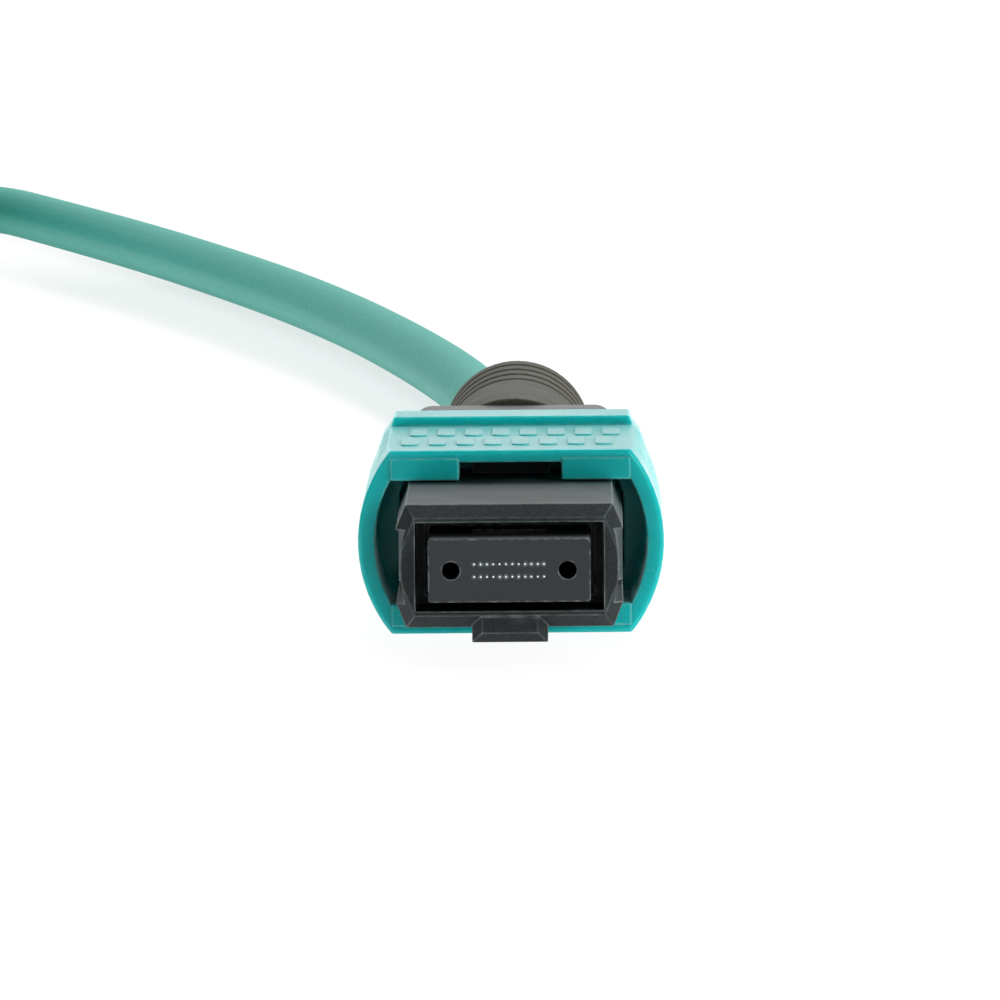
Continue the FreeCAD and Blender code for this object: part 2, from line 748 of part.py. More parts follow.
def coil_spring(name, centre_x, front, rear, half_width, half_height, wire, turns):
    """A compression spring along Y whose turns are round or oval, of square wire bent in short sides."""
    count = int(round(turns * SIDES_PER_TURN))
    rise = (rear - front - wire) / count
    half = wire / 2
    rings = []
    for number in range(count + 1):
        angle = 2 * math.pi * number / SIDES_PER_TURN
        outward = Vector(math.cos(angle) * half_height, 0, math.sin(angle) * half_width).normalize()
        place = Vector(half_width * math.cos(angle), 0, half_height * math.sin(angle))
        place += Vector(centre_x, front + half + rise * number, 0)
        rings.append([
            place + outward * half * dr + Vector(0, half * dy, 0)
            for dr, dy in ((-1, -1), (1, -1), (1, 1), (-1, 1))
        ])
    faces = [flat_face(rings[0]), flat_face(rings[-1])]
    for ring, following in zip(rings, rings[1:]):
        for side in range(4):
            beside = (side + 1) % 4
            faces.append(flat_face([ring[side], ring[beside], following[beside]]))
            faces.append(flat_face([ring[side], following[beside], following[side]]))
    spring = DOC.addObject("Part::Feature", name)
    spring.Label = name
    spring.Shape = Part.Solid(Part.Shell(faces))
    return spring


def flat_face(corners):
    return Part.Face(Part.makePolygon(corners + corners[:1]))


def sleeve_spring(name, side):
    wire = S.sleeve_spring_wire.value
    radius = (S.sleeve_spring_width.value - wire) / 2
    centre = S.housing_width.value / 2 + S.spring_play.value + S.sleeve_spring_width.value / 2
    front = SPRING_FRONT.value + S.spring_play.value
    rear = HOUSING_REAR.value - S.spring_play.value
    return coil_spring(name, centre * side, front, rear, radius, radius, wire, S.sleeve_spring_turns.value)


def ferrule_spring(name):
    wire = S.ferrule_spring_wire.value
    half_width = (FERRULE_SPRING_WIDTH.value - wire) / 2
    half_height = (FERRULE_SPRING_HEIGHT.value - wire) / 2
    front = CLAMP_REAR.value + S.spring_play.value
    rear = PLUG_FRONT.value - S.spring_play.value
    return coil_spring(name, 0.0, front, rear, half_width, half_height, wire, S.ferrule_spring_turns.value)


# ---------------------------------------------------------------- crimp body, ring, yarn and boot

def ear_section():
    """The rear wall's outline: as wide as the sleeve's arched sides let it be."""
    half_width = SLEEVE_WIDTH / 2
    radius, centre = side_arc(half_width, SLEEVE_FLAT_WIDTH / 2, SLEEVE_HEIGHT / 2)
    reach = radius - S.sleeve_side_wall - S.ear_play
    half_height = S.ear_height / 2
    return barrel_section(centre + reach_at(reach, half_height), half_height, centre)


def crimp_body(name, inner_detail=True):
    """The push body: a plug with two snap arms, spring ears, a finger block and a crimp barrel."""
    body = new_body(name)
    plug = centred(BAY_WIDTH - S.plug_play * 2, BAY_HEIGHT - S.plug_play * 2)
    prism(body, "plug", plug, PLUG_FRONT, HOUSING_REAR - PLUG_FRONT)
    neck = centred(NECK_WIDTH, S.neck_height)
    prism(body, "neck", neck, HOUSING_REAR, BLOCK_FRONT - HOUSING_REAR)
    ears, ear_arcs = ear_section()
    prism(body, "spring_ears", ears, HOUSING_REAR, S.ear_thickness, arcs=ear_arcs)
    prism(body, "finger_block", centred(BLOCK_WIDTH, S.block_height), BLOCK_FRONT, S.block_length)
    block_middle = (BLOCK_FRONT + BLOCK_REAR).value / 2
    dressed(body, "Fillet", "block_corners", S.block_rounding, lambda middle, along: (
        abs(abs(along.y) - 1) < 1e-6
        and abs(middle.y - block_middle) < 1e-4
        and abs(middle.x) > NECK_WIDTH.value / 2
    ))
    barrel = box_corners(0.0, S.barrel_width / 2, BLOCK_REAR - S.ear_thickness, BARREL_REAR)
    turned(body, "barrel", barrel)
    if inner_detail:
        barrel_grooves(body)
        snap_arms(body)
        passage = centred(PASSAGE_WIDTH, PASSAGE_HEIGHT)
        prism(body, "ribbon_passage", passage, PLUG_FRONT, BARREL_REAR - PLUG_FRONT, cut=True)
    return body


def barrel_grooves(body):
    """Grooves round the barrel that the yarn is pressed into."""
    knurl_start = RING_FRONT + S.knurl_pitch / 2
    knurl = box_corners(
        S.barrel_width / 2 - S.knurl_depth, S.barrel_width, knurl_start, knurl_start + S.knurl_width
    )
    ring = turned(body, "knurl", knurl, cut=True)
    repeated(body, "knurls", [ring], S.knurl_pitch, S.knurl_count)


def snap_arms(body):
    """The two arms whose hooks snap into the housing's side windows."""
    outer = BAY_WIDTH / 2 - S.plug_play
    half = S.arm_height / 2
    arm = prism(
        body, "arm", box_corners(outer - S.arm_thickness, outer, -half, half), ARM_FRONT, S.arm_length
    )
    hook_rear = ARM_FRONT + S.hook_length
    hook_outline = [
        (outer - S.arm_thickness / 2, ARM_FRONT), (outer, ARM_FRONT),
        (outer + S.hook_reach, hook_rear - S.hook_length / 3), (outer + S.hook_reach, hook_rear),
        (outer - S.arm_thickness / 2, hook_rear),
    ]
    hook = prism(body, "hook", hook_outline, -half, S.arm_height, role="XY_Plane")
    mirrored(body, "arm_pair", [arm, hook])


def crimp_ring(name):
    """The metal ring pressed over the yarn on the barrel, its narrow tail gripping the jacket."""
    body = new_body(name)
    tail_outside = TAIL_BORE + S.ring_wall
    section = [
        (RING_BORE, RING_FRONT), (RING_OUTSIDE, RING_FRONT), (RING_OUTSIDE, TAIL_FRONT),
        (tail_outside, TAIL_FRONT), (tail_outside, RING_REAR),
        (TAIL_BORE, RING_REAR), (TAIL_BORE, RING_SHOULDER), (RING_BORE, RING_SHOULDER),
    ]
    turned(body, "ring", section)
    return body


def strength_yarn(name):
    """The cable's aramid strands, folded back over the barrel under the crimp ring."""
    body = new_body(name)
    inner = S.barrel_width / 2 + S.ring_play
    outer = S.barrel_width / 2 + S.yarn_thickness
    turned(body, "wrap", box_corners(inner, outer, RING_FRONT, RING_SHOULDER))
    return body


def strain_relief_boot(name, rings=True):
    """The rubber boot: a socket over the crimp ring, then a tapered tail cut by flex rings."""
    body = new_body(name)
    socket = RING_OUTSIDE + S.boot_socket_play
    socket_rear = RING_REAR + S.knurl_width
    bore = S.cable_thickness / 2 + S.boot_bore_play
    front = S.boot_front_width / 2
    rear = S.boot_rear_width / 2
    taper_rear = BOOT_REAR - S.boot_ring_pitch * S.boot_ring_count if rings else BOOT_REAR
    section = [
        (socket, BLOCK_REAR), (front, BLOCK_REAR), (front, BLOCK_REAR + S.boot_front_length),
        (rear, taper_rear), (rear, BOOT_REAR), (bore, BOOT_REAR), (bore, socket_rear), (socket, socket_rear),
    ]
    if not rings:
        section.remove((rear, BOOT_REAR))
    turned(body, "sheath", section)
    if rings:
        floor = rear - S.boot_groove_depth
        cutter = box_corners(floor, front, taper_rear, taper_rear + S.boot_groove_width)
        groove = turned(body, "flex_ring", cutter, cut=True)
        repeated(body, "flex_rings", [groove], S.boot_ring_pitch, S.boot_ring_count)
    return body


# ---------------------------------------------------------------- cable

FLOOR = -RESTING_HEIGHT.value
JACKET_START = TAIL_FRONT.value
CABLE_RADIUS = S.cable_thickness.value / 2
ON_FLOOR = FLOOR + CABLE_RADIUS


def around_coil(radius, degrees, height):
    angle = math.radians(degrees)
    return Vector(
        COIL_CENTRE[0] + radius * math.cos(angle), COIL_CENTRE[1] + radius * math.sin(angle), height
    )


def along_coil(degrees):
    angle = math.radians(degrees)
    return Vector(-math.sin(angle), math.cos(angle), 0)


def coil_outer_turn():
    return S.coil_radius.value + S.cable_thickness.value * (S.coil_turns_wide.value - 1) / 2


def lead_route():
    """From the near crimp ring over the floor to the coil's outer turn."""
    points = [Vector(0, JACKET_START, 0), Vector(*LEAD_COURSE[0], 0)]
    points += [Vector(x, y, ON_FLOOR) for x, y in LEAD_COURSE[1:]]
    entry = around_coil(coil_outer_turn(), COIL_ENTRY_DEG, ON_FLOOR)
    return points + [entry - along_coil(COIL_ENTRY_DEG) * LAST_RUN, entry]


def tail_route():
    """From the far connector's crimp ring up to the coil's top turn."""
    x, y = FAR_PLACE
    start = Vector(x, y + JACKET_START, 0)
    straight, rising = TAIL_RUNS
    top = ON_FLOOR + S.cable_thickness.value * S.coil_turns_high.value
    leave = around_coil(coil_outer_turn(), COIL_EXIT_DEG, top)
    bend = leave + along_coil(COIL_EXIT_DEG) * rising - Vector(0, 0, TAIL_FALL)
    return [start, start + Vector(0, straight, 0), bend, leave]


def rounded_path(points):
    """Straight runs joined by tangent arcs, each as large as its two runs allow."""
    edges = []
    radii = []
    here = points[0]
    for before, corner, after in zip(points, points[1:], points[2:]):
        back = (before - corner).normalize()
        ahead = (after - corner).normalize()
        turn = math.pi - back.getAngle(ahead)
        trim = 0.45 * min((before - corner).Length, (after - corner).Length)
        radius = trim / math.tan(turn / 2)
        start = corner + back * trim
        end = corner + ahead * trim
        inward = (back + ahead).normalize()
        depth = radius / math.cos(turn / 2) - radius
        edges.append(Part.LineSegment(here, start).toShape())
        edges.append(Part.Arc(start, corner + inward * depth, end).toShape())
        radii.append(radius)
        here = end
    edges.append(Part.LineSegment(here, points[-1]).toShape())
    return Part.Wire(edges), radii


CABLE_SIDES = 16


def cable_tube(name, points):
    """A plain tube of narrow flat sides along a route, with its bend radii and volume checked."""
    path, radii = rounded_path(points)
    heading = (points[1] - points[0]).normalize()
    across = Vector(0, 0, 1).cross(heading).normalize() * CABLE_RADIUS
    upward = heading.cross(across)
    ring = []
    for number in range(CABLE_SIDES):
        angle = 2 * math.pi * (number + 0.5) / CABLE_SIDES
        ring.append(points[0] + across * math.cos(angle) + upward * math.sin(angle))
    tube = path.makePipeShell([Part.makePolygon(ring + ring[:1])], True, False)
    section = CABLE_SIDES / 2 * CABLE_RADIUS**2 * math.sin(2 * math.pi / CABLE_SIDES)
    expected = section * path.Length
    print(f"{name}: {path.Length:.1f} mm long, bend radii {[round(r, 1) for r in radii]}")
    print(f"{name}: volume {tube.Volume:.1f} against {expected:.1f} mm3")
    if abs(tube.Volume - expected) > expected / 100:
        raise RuntimeError(f"{name}: the tube's volume is off")
    node = DOC.addObject("Part::Feature", name)
    node.Label = name
    node.Shape = tube
    return node


def cable_coil(name):
    """The outer shape of the coiled length: full layers, and the last part turn on the outside."""
    body = new_body(name)
    body.Placement = Placement(
        Vector(*COIL_CENTRE, FLOOR), Rotation(Vector(0, 0, 1), COIL_ENTRY_DEG)
    )
    wide = S.cable_thickness * S.coil_turns_wide
    high = S.cable_thickness * S.coil_turns_high
    inner = S.coil_radius - wide / 2
    outer = S.coil_radius + wide / 2
    turned(body, "bundle", box_corners(inner, outer, 0.0, high), role="XZ_Plane")
    last = box_corners(outer - S.cable_thickness, outer, high, high + S.cable_thickness)
    turned(body, "last_turn", last, role="XZ_Plane", angle=COIL_EXIT_DEG - COIL_ENTRY_DEG)
    return body


def coil_tie(name):
    """The strap round the coil's turns."""
    body = new_body(name)
    angle = math.radians(TIE_DEG)
    radius = S.coil_radius.value
    body.Placement = Placement(
        Vector(COIL_CENTRE[0] + radius * math.cos(angle), COIL_CENTRE[1] + radius * math.sin(angle), FLOOR),
        Rotation(Vector(0, 0, 1), TIE_DEG),
    )
    half = S.cable_thickness * S.coil_turns_wide / 2 + S.tie_thickness / 2
    high = S.cable_thickness * S.coil_turns_high + S.tie_thickness / 2
    outline = box_corners(-half - S.tie_thickness, half + S.tie_thickness, 0.0, high + S.tie_thickness)
    prism(body, "strap", outline, -S.tie_width / 2, S.tie_width)
    opening = box_corners(-half, half, S.tie_thickness, high)
    prism(body, "strap_opening", opening, -S.tie_width / 2, S.tie_width, cut=True)
    return body


# ---------------------------------------------------------------- the whole part

def near_connector():
    return [
        inner_housing("inner_housing"),
        coupling_sleeve("coupling_sleeve"),
        sleeve_spring("sleeve_spring_left", -1),
        sleeve_spring("sleeve_spring_right", 1),
        ferrule("ferrule"),
        optical_fibres("optical_fibres"),
        ferrule_boot("ferrule_boot"),
        pin_clamp("pin_clamp"),
        ferrule_spring("ferrule_spring"),
        fibre_ribbon("fibre_ribbon_upper", 1),
        fibre_ribbon("fibre_ribbon_lower", -1),
        crimp_body("crimp_body"),
        strength_yarn("strength_yarn"),
        crimp_ring("crimp_ring"),
        strain_relief_boot("strain_relief_boot"),
    ]


def far_connector():
    """The same connector on the cable's other end, plain where its closed housing hides it."""
    pieces = [
        inner_housing("far_inner_housing"),
        coupling_sleeve("far_coupling_sleeve", grooved=False),
        ferrule("far_ferrule", fibre_holes=False),
        crimp_body("far_crimp_body", inner_detail=False),
        strain_relief_boot("far_strain_relief_boot", rings=False),
    ]
    for piece in pieces:
        piece.Placement = Placement(Vector(*FAR_PLACE, 0), Rotation())
    return pieces


def cable_pieces():
    return [
        cable_tube("cable_lead", lead_route()),
        cable_coil("cable_coil"),
        coil_tie("coil_tie"),
        cable_tube("far_cable_tail", tail_route()),
    ]


def export(pieces):
    """Checks every object of the document, then writes each piece to its own file."""
    DOC.recompute()
    for item in DOC.Objects:
        if {"Invalid", "Error"} & set(item.State):
            raise RuntimeError(f"{item.Label} is in state {item.State}")
    os.makedirs("parts", exist_ok=True)
    for piece in pieces:
        shape = piece.Shape
        if shape.isNull() or not shape.isValid():
            raise RuntimeError(f"{piece.Label} has no valid shape")
        shape.exportStep(f"parts/{piece.Label}.step")
        box = shape.BoundBox
        print(
            f"{piece.Label}: {len(shape.Solids)} solid(s), {shape.Volume:.2f} mm3,"
            f" x {box.XMin:.2f} to {box.XMax:.2f}, y {box.YMin:.2f} to {box.YMax:.2f},"
            f" z {box.ZMin:.2f} to {box.ZMax:.2f}"
        )


export(near_connector() + far_connector() + cable_pieces())
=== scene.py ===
# %% [markdown]
# A push-on multi-fibre connector, dressed around its own construction model. The construction model
# says where every piece is and how it moves, so it is loaded first and never changed. Everything
# below adds finish to it: rounded edges, round wire, real strands, a smooth cable and materials.

# %% Load the frame
import math
from contextlib import contextmanager

import bmesh
import bpy
from mathutils import Matrix, Vector


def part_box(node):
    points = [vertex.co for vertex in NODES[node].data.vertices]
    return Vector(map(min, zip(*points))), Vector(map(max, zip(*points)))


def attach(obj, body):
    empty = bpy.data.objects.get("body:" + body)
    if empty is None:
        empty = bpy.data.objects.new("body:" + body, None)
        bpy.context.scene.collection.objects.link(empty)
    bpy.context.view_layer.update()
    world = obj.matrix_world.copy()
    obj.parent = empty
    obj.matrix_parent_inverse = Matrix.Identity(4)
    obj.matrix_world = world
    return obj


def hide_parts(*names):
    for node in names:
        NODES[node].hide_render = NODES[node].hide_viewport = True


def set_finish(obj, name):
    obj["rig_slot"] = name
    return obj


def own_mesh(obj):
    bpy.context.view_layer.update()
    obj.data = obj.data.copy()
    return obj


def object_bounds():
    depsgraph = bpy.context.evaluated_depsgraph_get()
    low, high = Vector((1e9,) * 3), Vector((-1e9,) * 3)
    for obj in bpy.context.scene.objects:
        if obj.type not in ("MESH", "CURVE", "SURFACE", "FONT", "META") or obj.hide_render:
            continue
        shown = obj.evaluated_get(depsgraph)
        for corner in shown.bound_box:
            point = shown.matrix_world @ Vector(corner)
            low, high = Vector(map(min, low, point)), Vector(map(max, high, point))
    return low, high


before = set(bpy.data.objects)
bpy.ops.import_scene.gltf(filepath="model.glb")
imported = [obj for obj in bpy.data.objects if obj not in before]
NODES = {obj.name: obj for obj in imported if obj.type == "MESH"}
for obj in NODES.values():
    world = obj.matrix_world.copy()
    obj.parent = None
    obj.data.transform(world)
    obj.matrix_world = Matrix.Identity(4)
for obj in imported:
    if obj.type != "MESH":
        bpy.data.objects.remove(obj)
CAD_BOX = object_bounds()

MM = 0.001
SCENE = bpy.context.scene
print("box in mm:", [[round(v / MM, 2) for v in corner] for corner in CAD_BOX])

# %% [markdown]
# The camera looks along the connector from the front, a little from above, through a very long
# lens. The object itself lies a hair askew in front of it, which is written here as a small roll
# and yaw, so that the camera takes the whole turn and the object stays where its frame says.

# %% Camera
CAMERA_LENS = 375.2
CAMERA_SENSOR = 36.0
CAMERA_PITCH = math.radians(5.37)
OBJECT_ROLL = math.radians(0.51)
OBJECT_YAW = math.radians(0.4)
CAMERA_OFFSET = Vector((0.362, -2.773, -410.0)) * MM


def camera_matrix():
    """The camera's place, from the turn that brings the object in front of it."""
    upright = Matrix.Rotation(CAMERA_PITCH - math.pi / 2, 3, "X")
    askew = Matrix.Rotation(-OBJECT_YAW, 3, "Z") @ Matrix.Rotation(-OBJECT_ROLL, 3, "Y")
    seen = Matrix.Translation(CAMERA_OFFSET) @ (upright @ askew).to_4x4()
    return seen.inverted()


camera = bpy.data.objects.new("camera", bpy.data.cameras.new("camera"))
SCENE.collection.objects.link(camera)
camera.data.lens = CAMERA_LENS
camera.data.sensor_width = CAMERA_SENSOR
camera.data.clip_start = 0.05
camera.data.clip_end = 20.0
camera.matrix_world = camera_matrix()
SCENE.camera = camera
print("camera at", [round(v / MM, 1) for v in camera.matrix_world.translation], "mm")

# %% [markdown]
# The patch lead is one fixed length of round cable. It leaves the boot, drops to the floor, runs back
# in one loose curve and is wound into a neat flat coil, from whose top turn it reaches the other
# connector. It is drawn as one smooth NURBS line. Winding works inwards in the lower layer, climbs at
# the middle, works outwards again above, and ends in part of a turn on top.

# %% Cable centreline
CABLE_THICKNESS = 3.0
ON_FLOOR = -2.63
LEAD_POINTS = [
    (0.0, 42.05, 0.0), (0.0, 69.0, 0.0), (-0.9, 97.5, ON_FLOOR), (-3.8, 128.0, ON_FLOOR),
    (-11.0, 172.0, ON_FLOOR), (-21.4, 216.0, ON_FLOOR), (-30.0, 246.5, ON_FLOOR),
]
COIL_CENTRE = (-57.0, 254.0)
COIL_ENTRY = 60.0
COIL_EXIT = 190.0
LAST_RUN = 14.0
TURN_RADII = [19.5, 16.5, 13.5, 13.5, 16.5, 19.5, 19.5]
TURN_LAYERS = [0, 0, 0, 1, 1, 1, 2]
INMOST_TURN = 2
STEPS_PER_TURN = 24
LAST_STEPS = 9
# Degrees at the end of a turn over which the cable moves to the next one, and how far it swings in
# where the inmost turn climbs and both layers have the same radius.
STEP_OVER = 110.0
CLIMB_BULGE = 0.6
TAIL_POINTS = [(-72.04, 226.98, 1.67), (-72.0, 200.05, 0.0), (-72.0, 173.05, 0.0)]


def eased(share):
    share = min(1.0, max(0.0, share))
    return share * share * (3 - 2 * share)


def coil_point(turn, degrees):
    """Where the cable's centre is, degrees into this turn of the winding."""
    following = min(turn + 1, len(TURN_RADII) - 1)
    past = degrees - 360 + STEP_OVER
    over = eased(past / STEP_OVER)
    up = eased((past + (STEP_OVER if TURN_LAYERS[turn] == 1 else 0.0)) / STEP_OVER)
    radius = TURN_RADII[turn] + (TURN_RADII[following] - TURN_RADII[turn]) * over
    if turn == INMOST_TURN:
        radius -= CLIMB_BULGE * math.sin(math.pi * over)
    layer = TURN_LAYERS[turn] + (TURN_LAYERS[following] - TURN_LAYERS[turn]) * up
    angle = math.radians(COIL_ENTRY + degrees)
    return (
        COIL_CENTRE[0] + radius * math.cos(angle),
        COIL_CENTRE[1] + radius * math.sin(angle),
        ON_FLOOR + layer * CABLE_THICKNESS,
    )


def cable_points():
    """The control points of the whole cord, in millimetres."""
    entry = Vector(coil_point(0, 0.0))
    heading = math.radians(COIL_ENTRY)
    along = Vector((-math.sin(heading), math.cos(heading), 0))
    points = LEAD_POINTS + [tuple(entry - along * LAST_RUN)]
    step = 360 / STEPS_PER_TURN
    whole = len(TURN_RADII) - 1
    for turn in range(whole):
        points += [coil_point(turn, step * number) for number in range(STEPS_PER_TURN)]
    last = COIL_EXIT - COIL_ENTRY
    points += [coil_point(whole, last * number / LAST_STEPS) for number in range(LAST_STEPS + 1)]
    return points + TAIL_POINTS


# %% [markdown]
# A NURBS curve in Blender is a set of control points with weights. Order 3 gives a curve that is
# smooth in direction, and the endpoint option makes it begin and end on its outer points. The round
# bevel of the curve is the jacket, so the cable keeps its thickness along every bend.

# %% Cable
def nurbs_line(name, points, thickness):
    curve = bpy.data.curves.new(name, "CURVE")
    curve.dimensions = "3D"
    spline = curve.splines.new("NURBS")
    spline.points.add(len(points) - 1)
    for spot, point in zip(spline.points, points):
        spot.co = (*(Vector(point) * MM), 1.0)
    spline.order_u = 3
    spline.use_endpoint_u = True
    spline.resolution_u = 8
    curve.bevel_depth = thickness / 2 * MM
    curve.bevel_resolution = 8
    curve.use_fill_caps = True
    line = bpy.data.objects.new(name, curve)
    SCENE.collection.objects.link(line)
    print(f"{name}: {len(points)} control points, {spline.calc_length() / MM:.0f} mm long")
    return line


cable = nurbs_line("patch_cable", cable_points(), CABLE_THICKNESS)

# %% [markdown]
# Every finish below is a small network of nodes, and a few helpers keep them short. Colours are
# written as a maker would pick them on a screen, and turned into the linear light that a shader
# wants. Patterns read the object's own coordinates, which are in metres, so a grain of g millimetres
# is a noise whose scale is 1000 / g.

# %% Colour and node helpers
def linear(colour):
    """An sRGB hex colour as the linear colour that a shader takes."""
    parts = [int(colour[at:at + 2], 16) / 255 for at in (1, 3, 5)]
    return (*(c / 12.92 if c <= 0.04045 else ((c + 0.055) / 1.055) ** 2.4 for c in parts), 1.0)


def per_mm(size):
    """The scale of a pattern whose grain is this many millimetres wide."""
    return 1 / (size * MM)


def add_node(tree, kind, inputs=None, output=0, **options):
    """Adds a node with its own options and gives one of its outputs. Inputs are given by name
    or number, or as a list in the node's order: a Map Range takes its value, both ends it comes from
    and both ends it goes to. Each input takes another node's output, a list of them, a value, or
    arithmetic such as ("ADD", width, 1.0)."""
    node = tree.nodes.new(kind)
    for option, setting in options.items():
        setattr(node, option, setting)
    for socket, given in enumerate(inputs) if isinstance(inputs, list) else (inputs or {}).items():
        if isinstance(given, tuple) and isinstance(given[0], str):
            given = formula(tree, given)
        for source in given if isinstance(given, list) else [given]:
            if isinstance(source, bpy.types.NodeSocket):
                tree.links.new(source, node.inputs[socket])
            else:
                node.inputs[socket].default_value = source
    return node.outputs[output] if node.outputs else None


def formula(tree, step):
    """Arithmetic as nodes: an operation and its terms, each of which may be such a step itself."""
    operation, *terms = step
    return add_node(tree, "ShaderNodeMath", terms, operation=operation)


def new_material(name):
    """An empty material, its tree and the output of the object's coordinates."""
    material = bpy.data.materials.new(name)
    material.use_nodes = True
    tree = material.node_tree
    tree.nodes.clear()
    return material, tree, add_node(tree, "ShaderNodeTexCoord", output="Object")


def two_shades(tree, place, scale, detail, one, other, roughness=0.5):
    """A noise, and a colour that drifts between two shades along with it."""
    noise = add_node(
        tree, "ShaderNodeTexNoise",
        {"Vector": place, "Scale": scale, "Detail": detail, "Roughness": roughness},
    )
    shade = add_node(
        tree, "ShaderNodeMix", {"Factor": noise, 6: linear(one), 7: linear(other)}, 2, data_type="RGBA"
    )
    return noise, shade


def closed_material(material, tree, height, strength, depth, inputs):
    """Close a finish with its shader, and a relief this many millimetres deep."""
    bump = add_node(
        tree, "ShaderNodeBump", {"Height": height, "Strength": strength, "Distance": depth * MM}
    )
    shader = add_node(tree, "ShaderNodeBsdfPrincipled", {"Normal": bump, **inputs})
    add_node(tree, "ShaderNodeOutputMaterial", {"Surface": shader})
    return material


# %% [markdown]
# Most of the connector is injection-moulded plastic. What the eye reads there is a fine spark-eroded
# grain from the mould, a slow drift in shade where the melt flowed, specks of filler, and roughness
# that is never quite even. Edges are painted paler: partly wear where a finger has rubbed them, partly
# a painted highlight for the thin lines of light that sharp edges catch. The paler edge is found with a
# bevelled normal compared against the true one.

# %% Moulded plastics
EDGE_REACH = 0.1
FLOW_SIZE = 3.0
# Real filler is finer than this. It is drawn as coarse as it needs to show.
SPECKLE_SIZE = 0.1
GLOSS_DRIFT = 0.06


def edge_share(tree, place, unevenness, least=0.25):
    """How near to a sharp edge the surface is, from 0 to 1, broken up by a fine noise."""
    rounded = add_node(tree, "ShaderNodeBevel", {"Radius": EDGE_REACH * MM}, samples=4)
    flat = add_node(tree, "ShaderNodeNewGeometry", output="True Normal")
    alike = add_node(tree, "ShaderNodeVectorMath", [rounded, flat], "Value", operation="DOT_PRODUCT")
    edge = add_node(tree, "ShaderNodeMapRange", [alike, 0.995, 0.9])
    rubbed = add_node(
        tree, "ShaderNodeTexNoise", {"Vector": place, "Scale": per_mm(unevenness), "Detail": 2.0}
    )
    broken = add_node(tree, "ShaderNodeMapRange", [rubbed, 0.3, 0.62, least])
    return add_node(tree, "ShaderNodeMath", [edge, broken], operation="MULTIPLY", use_clamp=True)


def moulded(
    name, base, flow, worn_lit_edge, roughness, grain, depth, wear_and_highlight, specular=0.5, bloom=0.0, glow=0.0,
    speckle=0.0, cast="#ffffff",
):
    """Moulded plastic: base and flow are its two close shades, worn_lit_edge the pale edge colour,
    which is partly wear and partly a painted highlight, grain and depth the mould's texture in
    millimetres, and cast the hue of the light that skims over it."""
    material, tree, place = new_material(name)
    drift, shade = two_shades(tree, place, per_mm(FLOW_SIZE), 7.0, base, flow, 0.72)
    fines = add_node(
        tree, "ShaderNodeTexNoise", {"Vector": place, "Scale": per_mm(SPECKLE_SIZE), "Detail": 2.0}
    )
    value = add_node(tree, "ShaderNodeMapRange", [fines, 0.35, 0.65, 1.0 - speckle, 1.0 + speckle])
    speckled = add_node(tree, "ShaderNodeHueSaturation", {"Color": shade, "Value": value})
    # Paler edges: partly wear, partly a painted highlight for the light that sharp edges catch.
    wear_and_highlight_share = ("MULTIPLY", edge_share(tree, place, 0.5), wear_and_highlight)
    colour = add_node(
        tree, "ShaderNodeMix", {"Factor": wear_and_highlight_share, 6: speckled, 7: linear(worn_lit_edge)}, 2, data_type="RGBA"
    )
    mould = add_node(
        tree, "ShaderNodeTexNoise", {"Vector": place, "Scale": per_mm(grain), "Detail": 2.0}
    )
    gloss = add_node(
        tree, "ShaderNodeMapRange", [drift, 0.3, 0.7, roughness - GLOSS_DRIFT, roughness + GLOSS_DRIFT]
    )
    return closed_material(material, tree, mould, 0.6, depth, {
        "Base Color": colour, "Roughness": gloss, "IOR": 1.5,
        "Specular IOR Level": specular, "Specular Tint": linear(cast),
        "Sheen Weight": bloom, "Sheen Roughness": 0.3, "Sheen Tint": linear(cast),
        "Subsurface Weight": glow, "Subsurface Scale": 1.5 * MM, "Subsurface Radius": (0.2, 1.0, 1.0),
    })


# PBT with a satin mould finish: saturated aqua that pales strongly where light skims over it.
AQUA_PLASTIC = moulded(
    "moulded_aqua_pbt", "#00a9a8", "#009c9c", "#a4e6e2", roughness=0.24, grain=0.14, depth=0.003,
    wear_and_highlight=0.6, specular=0.2, bloom=0.62, glow=0.6, speckle=0.05, cast="#ddffff",
)
# Glass-filled thermoplastic with a fine matt grain: a dull charcoal that barely shines.
CHARCOAL_PLASTIC = moulded(
    "moulded_charcoal_plastic", "#272f30", "#151a1d", "#9aa5a4", roughness=0.5, grain=0.12,
    depth=0.015, wear_and_highlight=0.8, specular=0.2, speckle=0.35,
)
# The same plastic on the crimp body, smoother, so its flat top mirrors the pale surroundings.
CRIMP_PLASTIC = moulded(
    "moulded_crimp_body_plastic", "#2f3534", "#262b2a", "#7d8888", roughness=0.4, grain=0.2,
    depth=0.004, wear_and_highlight=0.4, specular=0.3, speckle=0.2,
)
# The pin clamp is plain black moulding that nobody sees in use.
CLAMP_PLASTIC = moulded(
    "moulded_black_clamp_plastic", "#232526", "#1e2021", "#5a5f60", roughness=0.5, grain=0.15,
    depth=0.004, wear_and_highlight=0.3,
)
# The soft grommet is matt black elastomer.
GROMMET_RUBBER = moulded(
    "moulded_grommet_rubber", "#1c1c1d", "#222223", "#3a3a3a", roughness=0.72, grain=0.2,
    depth=0.005, wear_and_highlight=0.2, specular=0.3,
)
# Grey-brown thermoplastic rubber with a dusty bloom: matt, soft highlights, slightly mottled.
BOOT_RUBBER = moulded(
    "moulded_boot_rubber", "#403e34", "#36352c", "#8c8a80", roughness=0.65, grain=0.22,
    depth=0.012, wear_and_highlight=0.35, specular=0.2, speckle=0.25,
)
print("moulded finishes made")
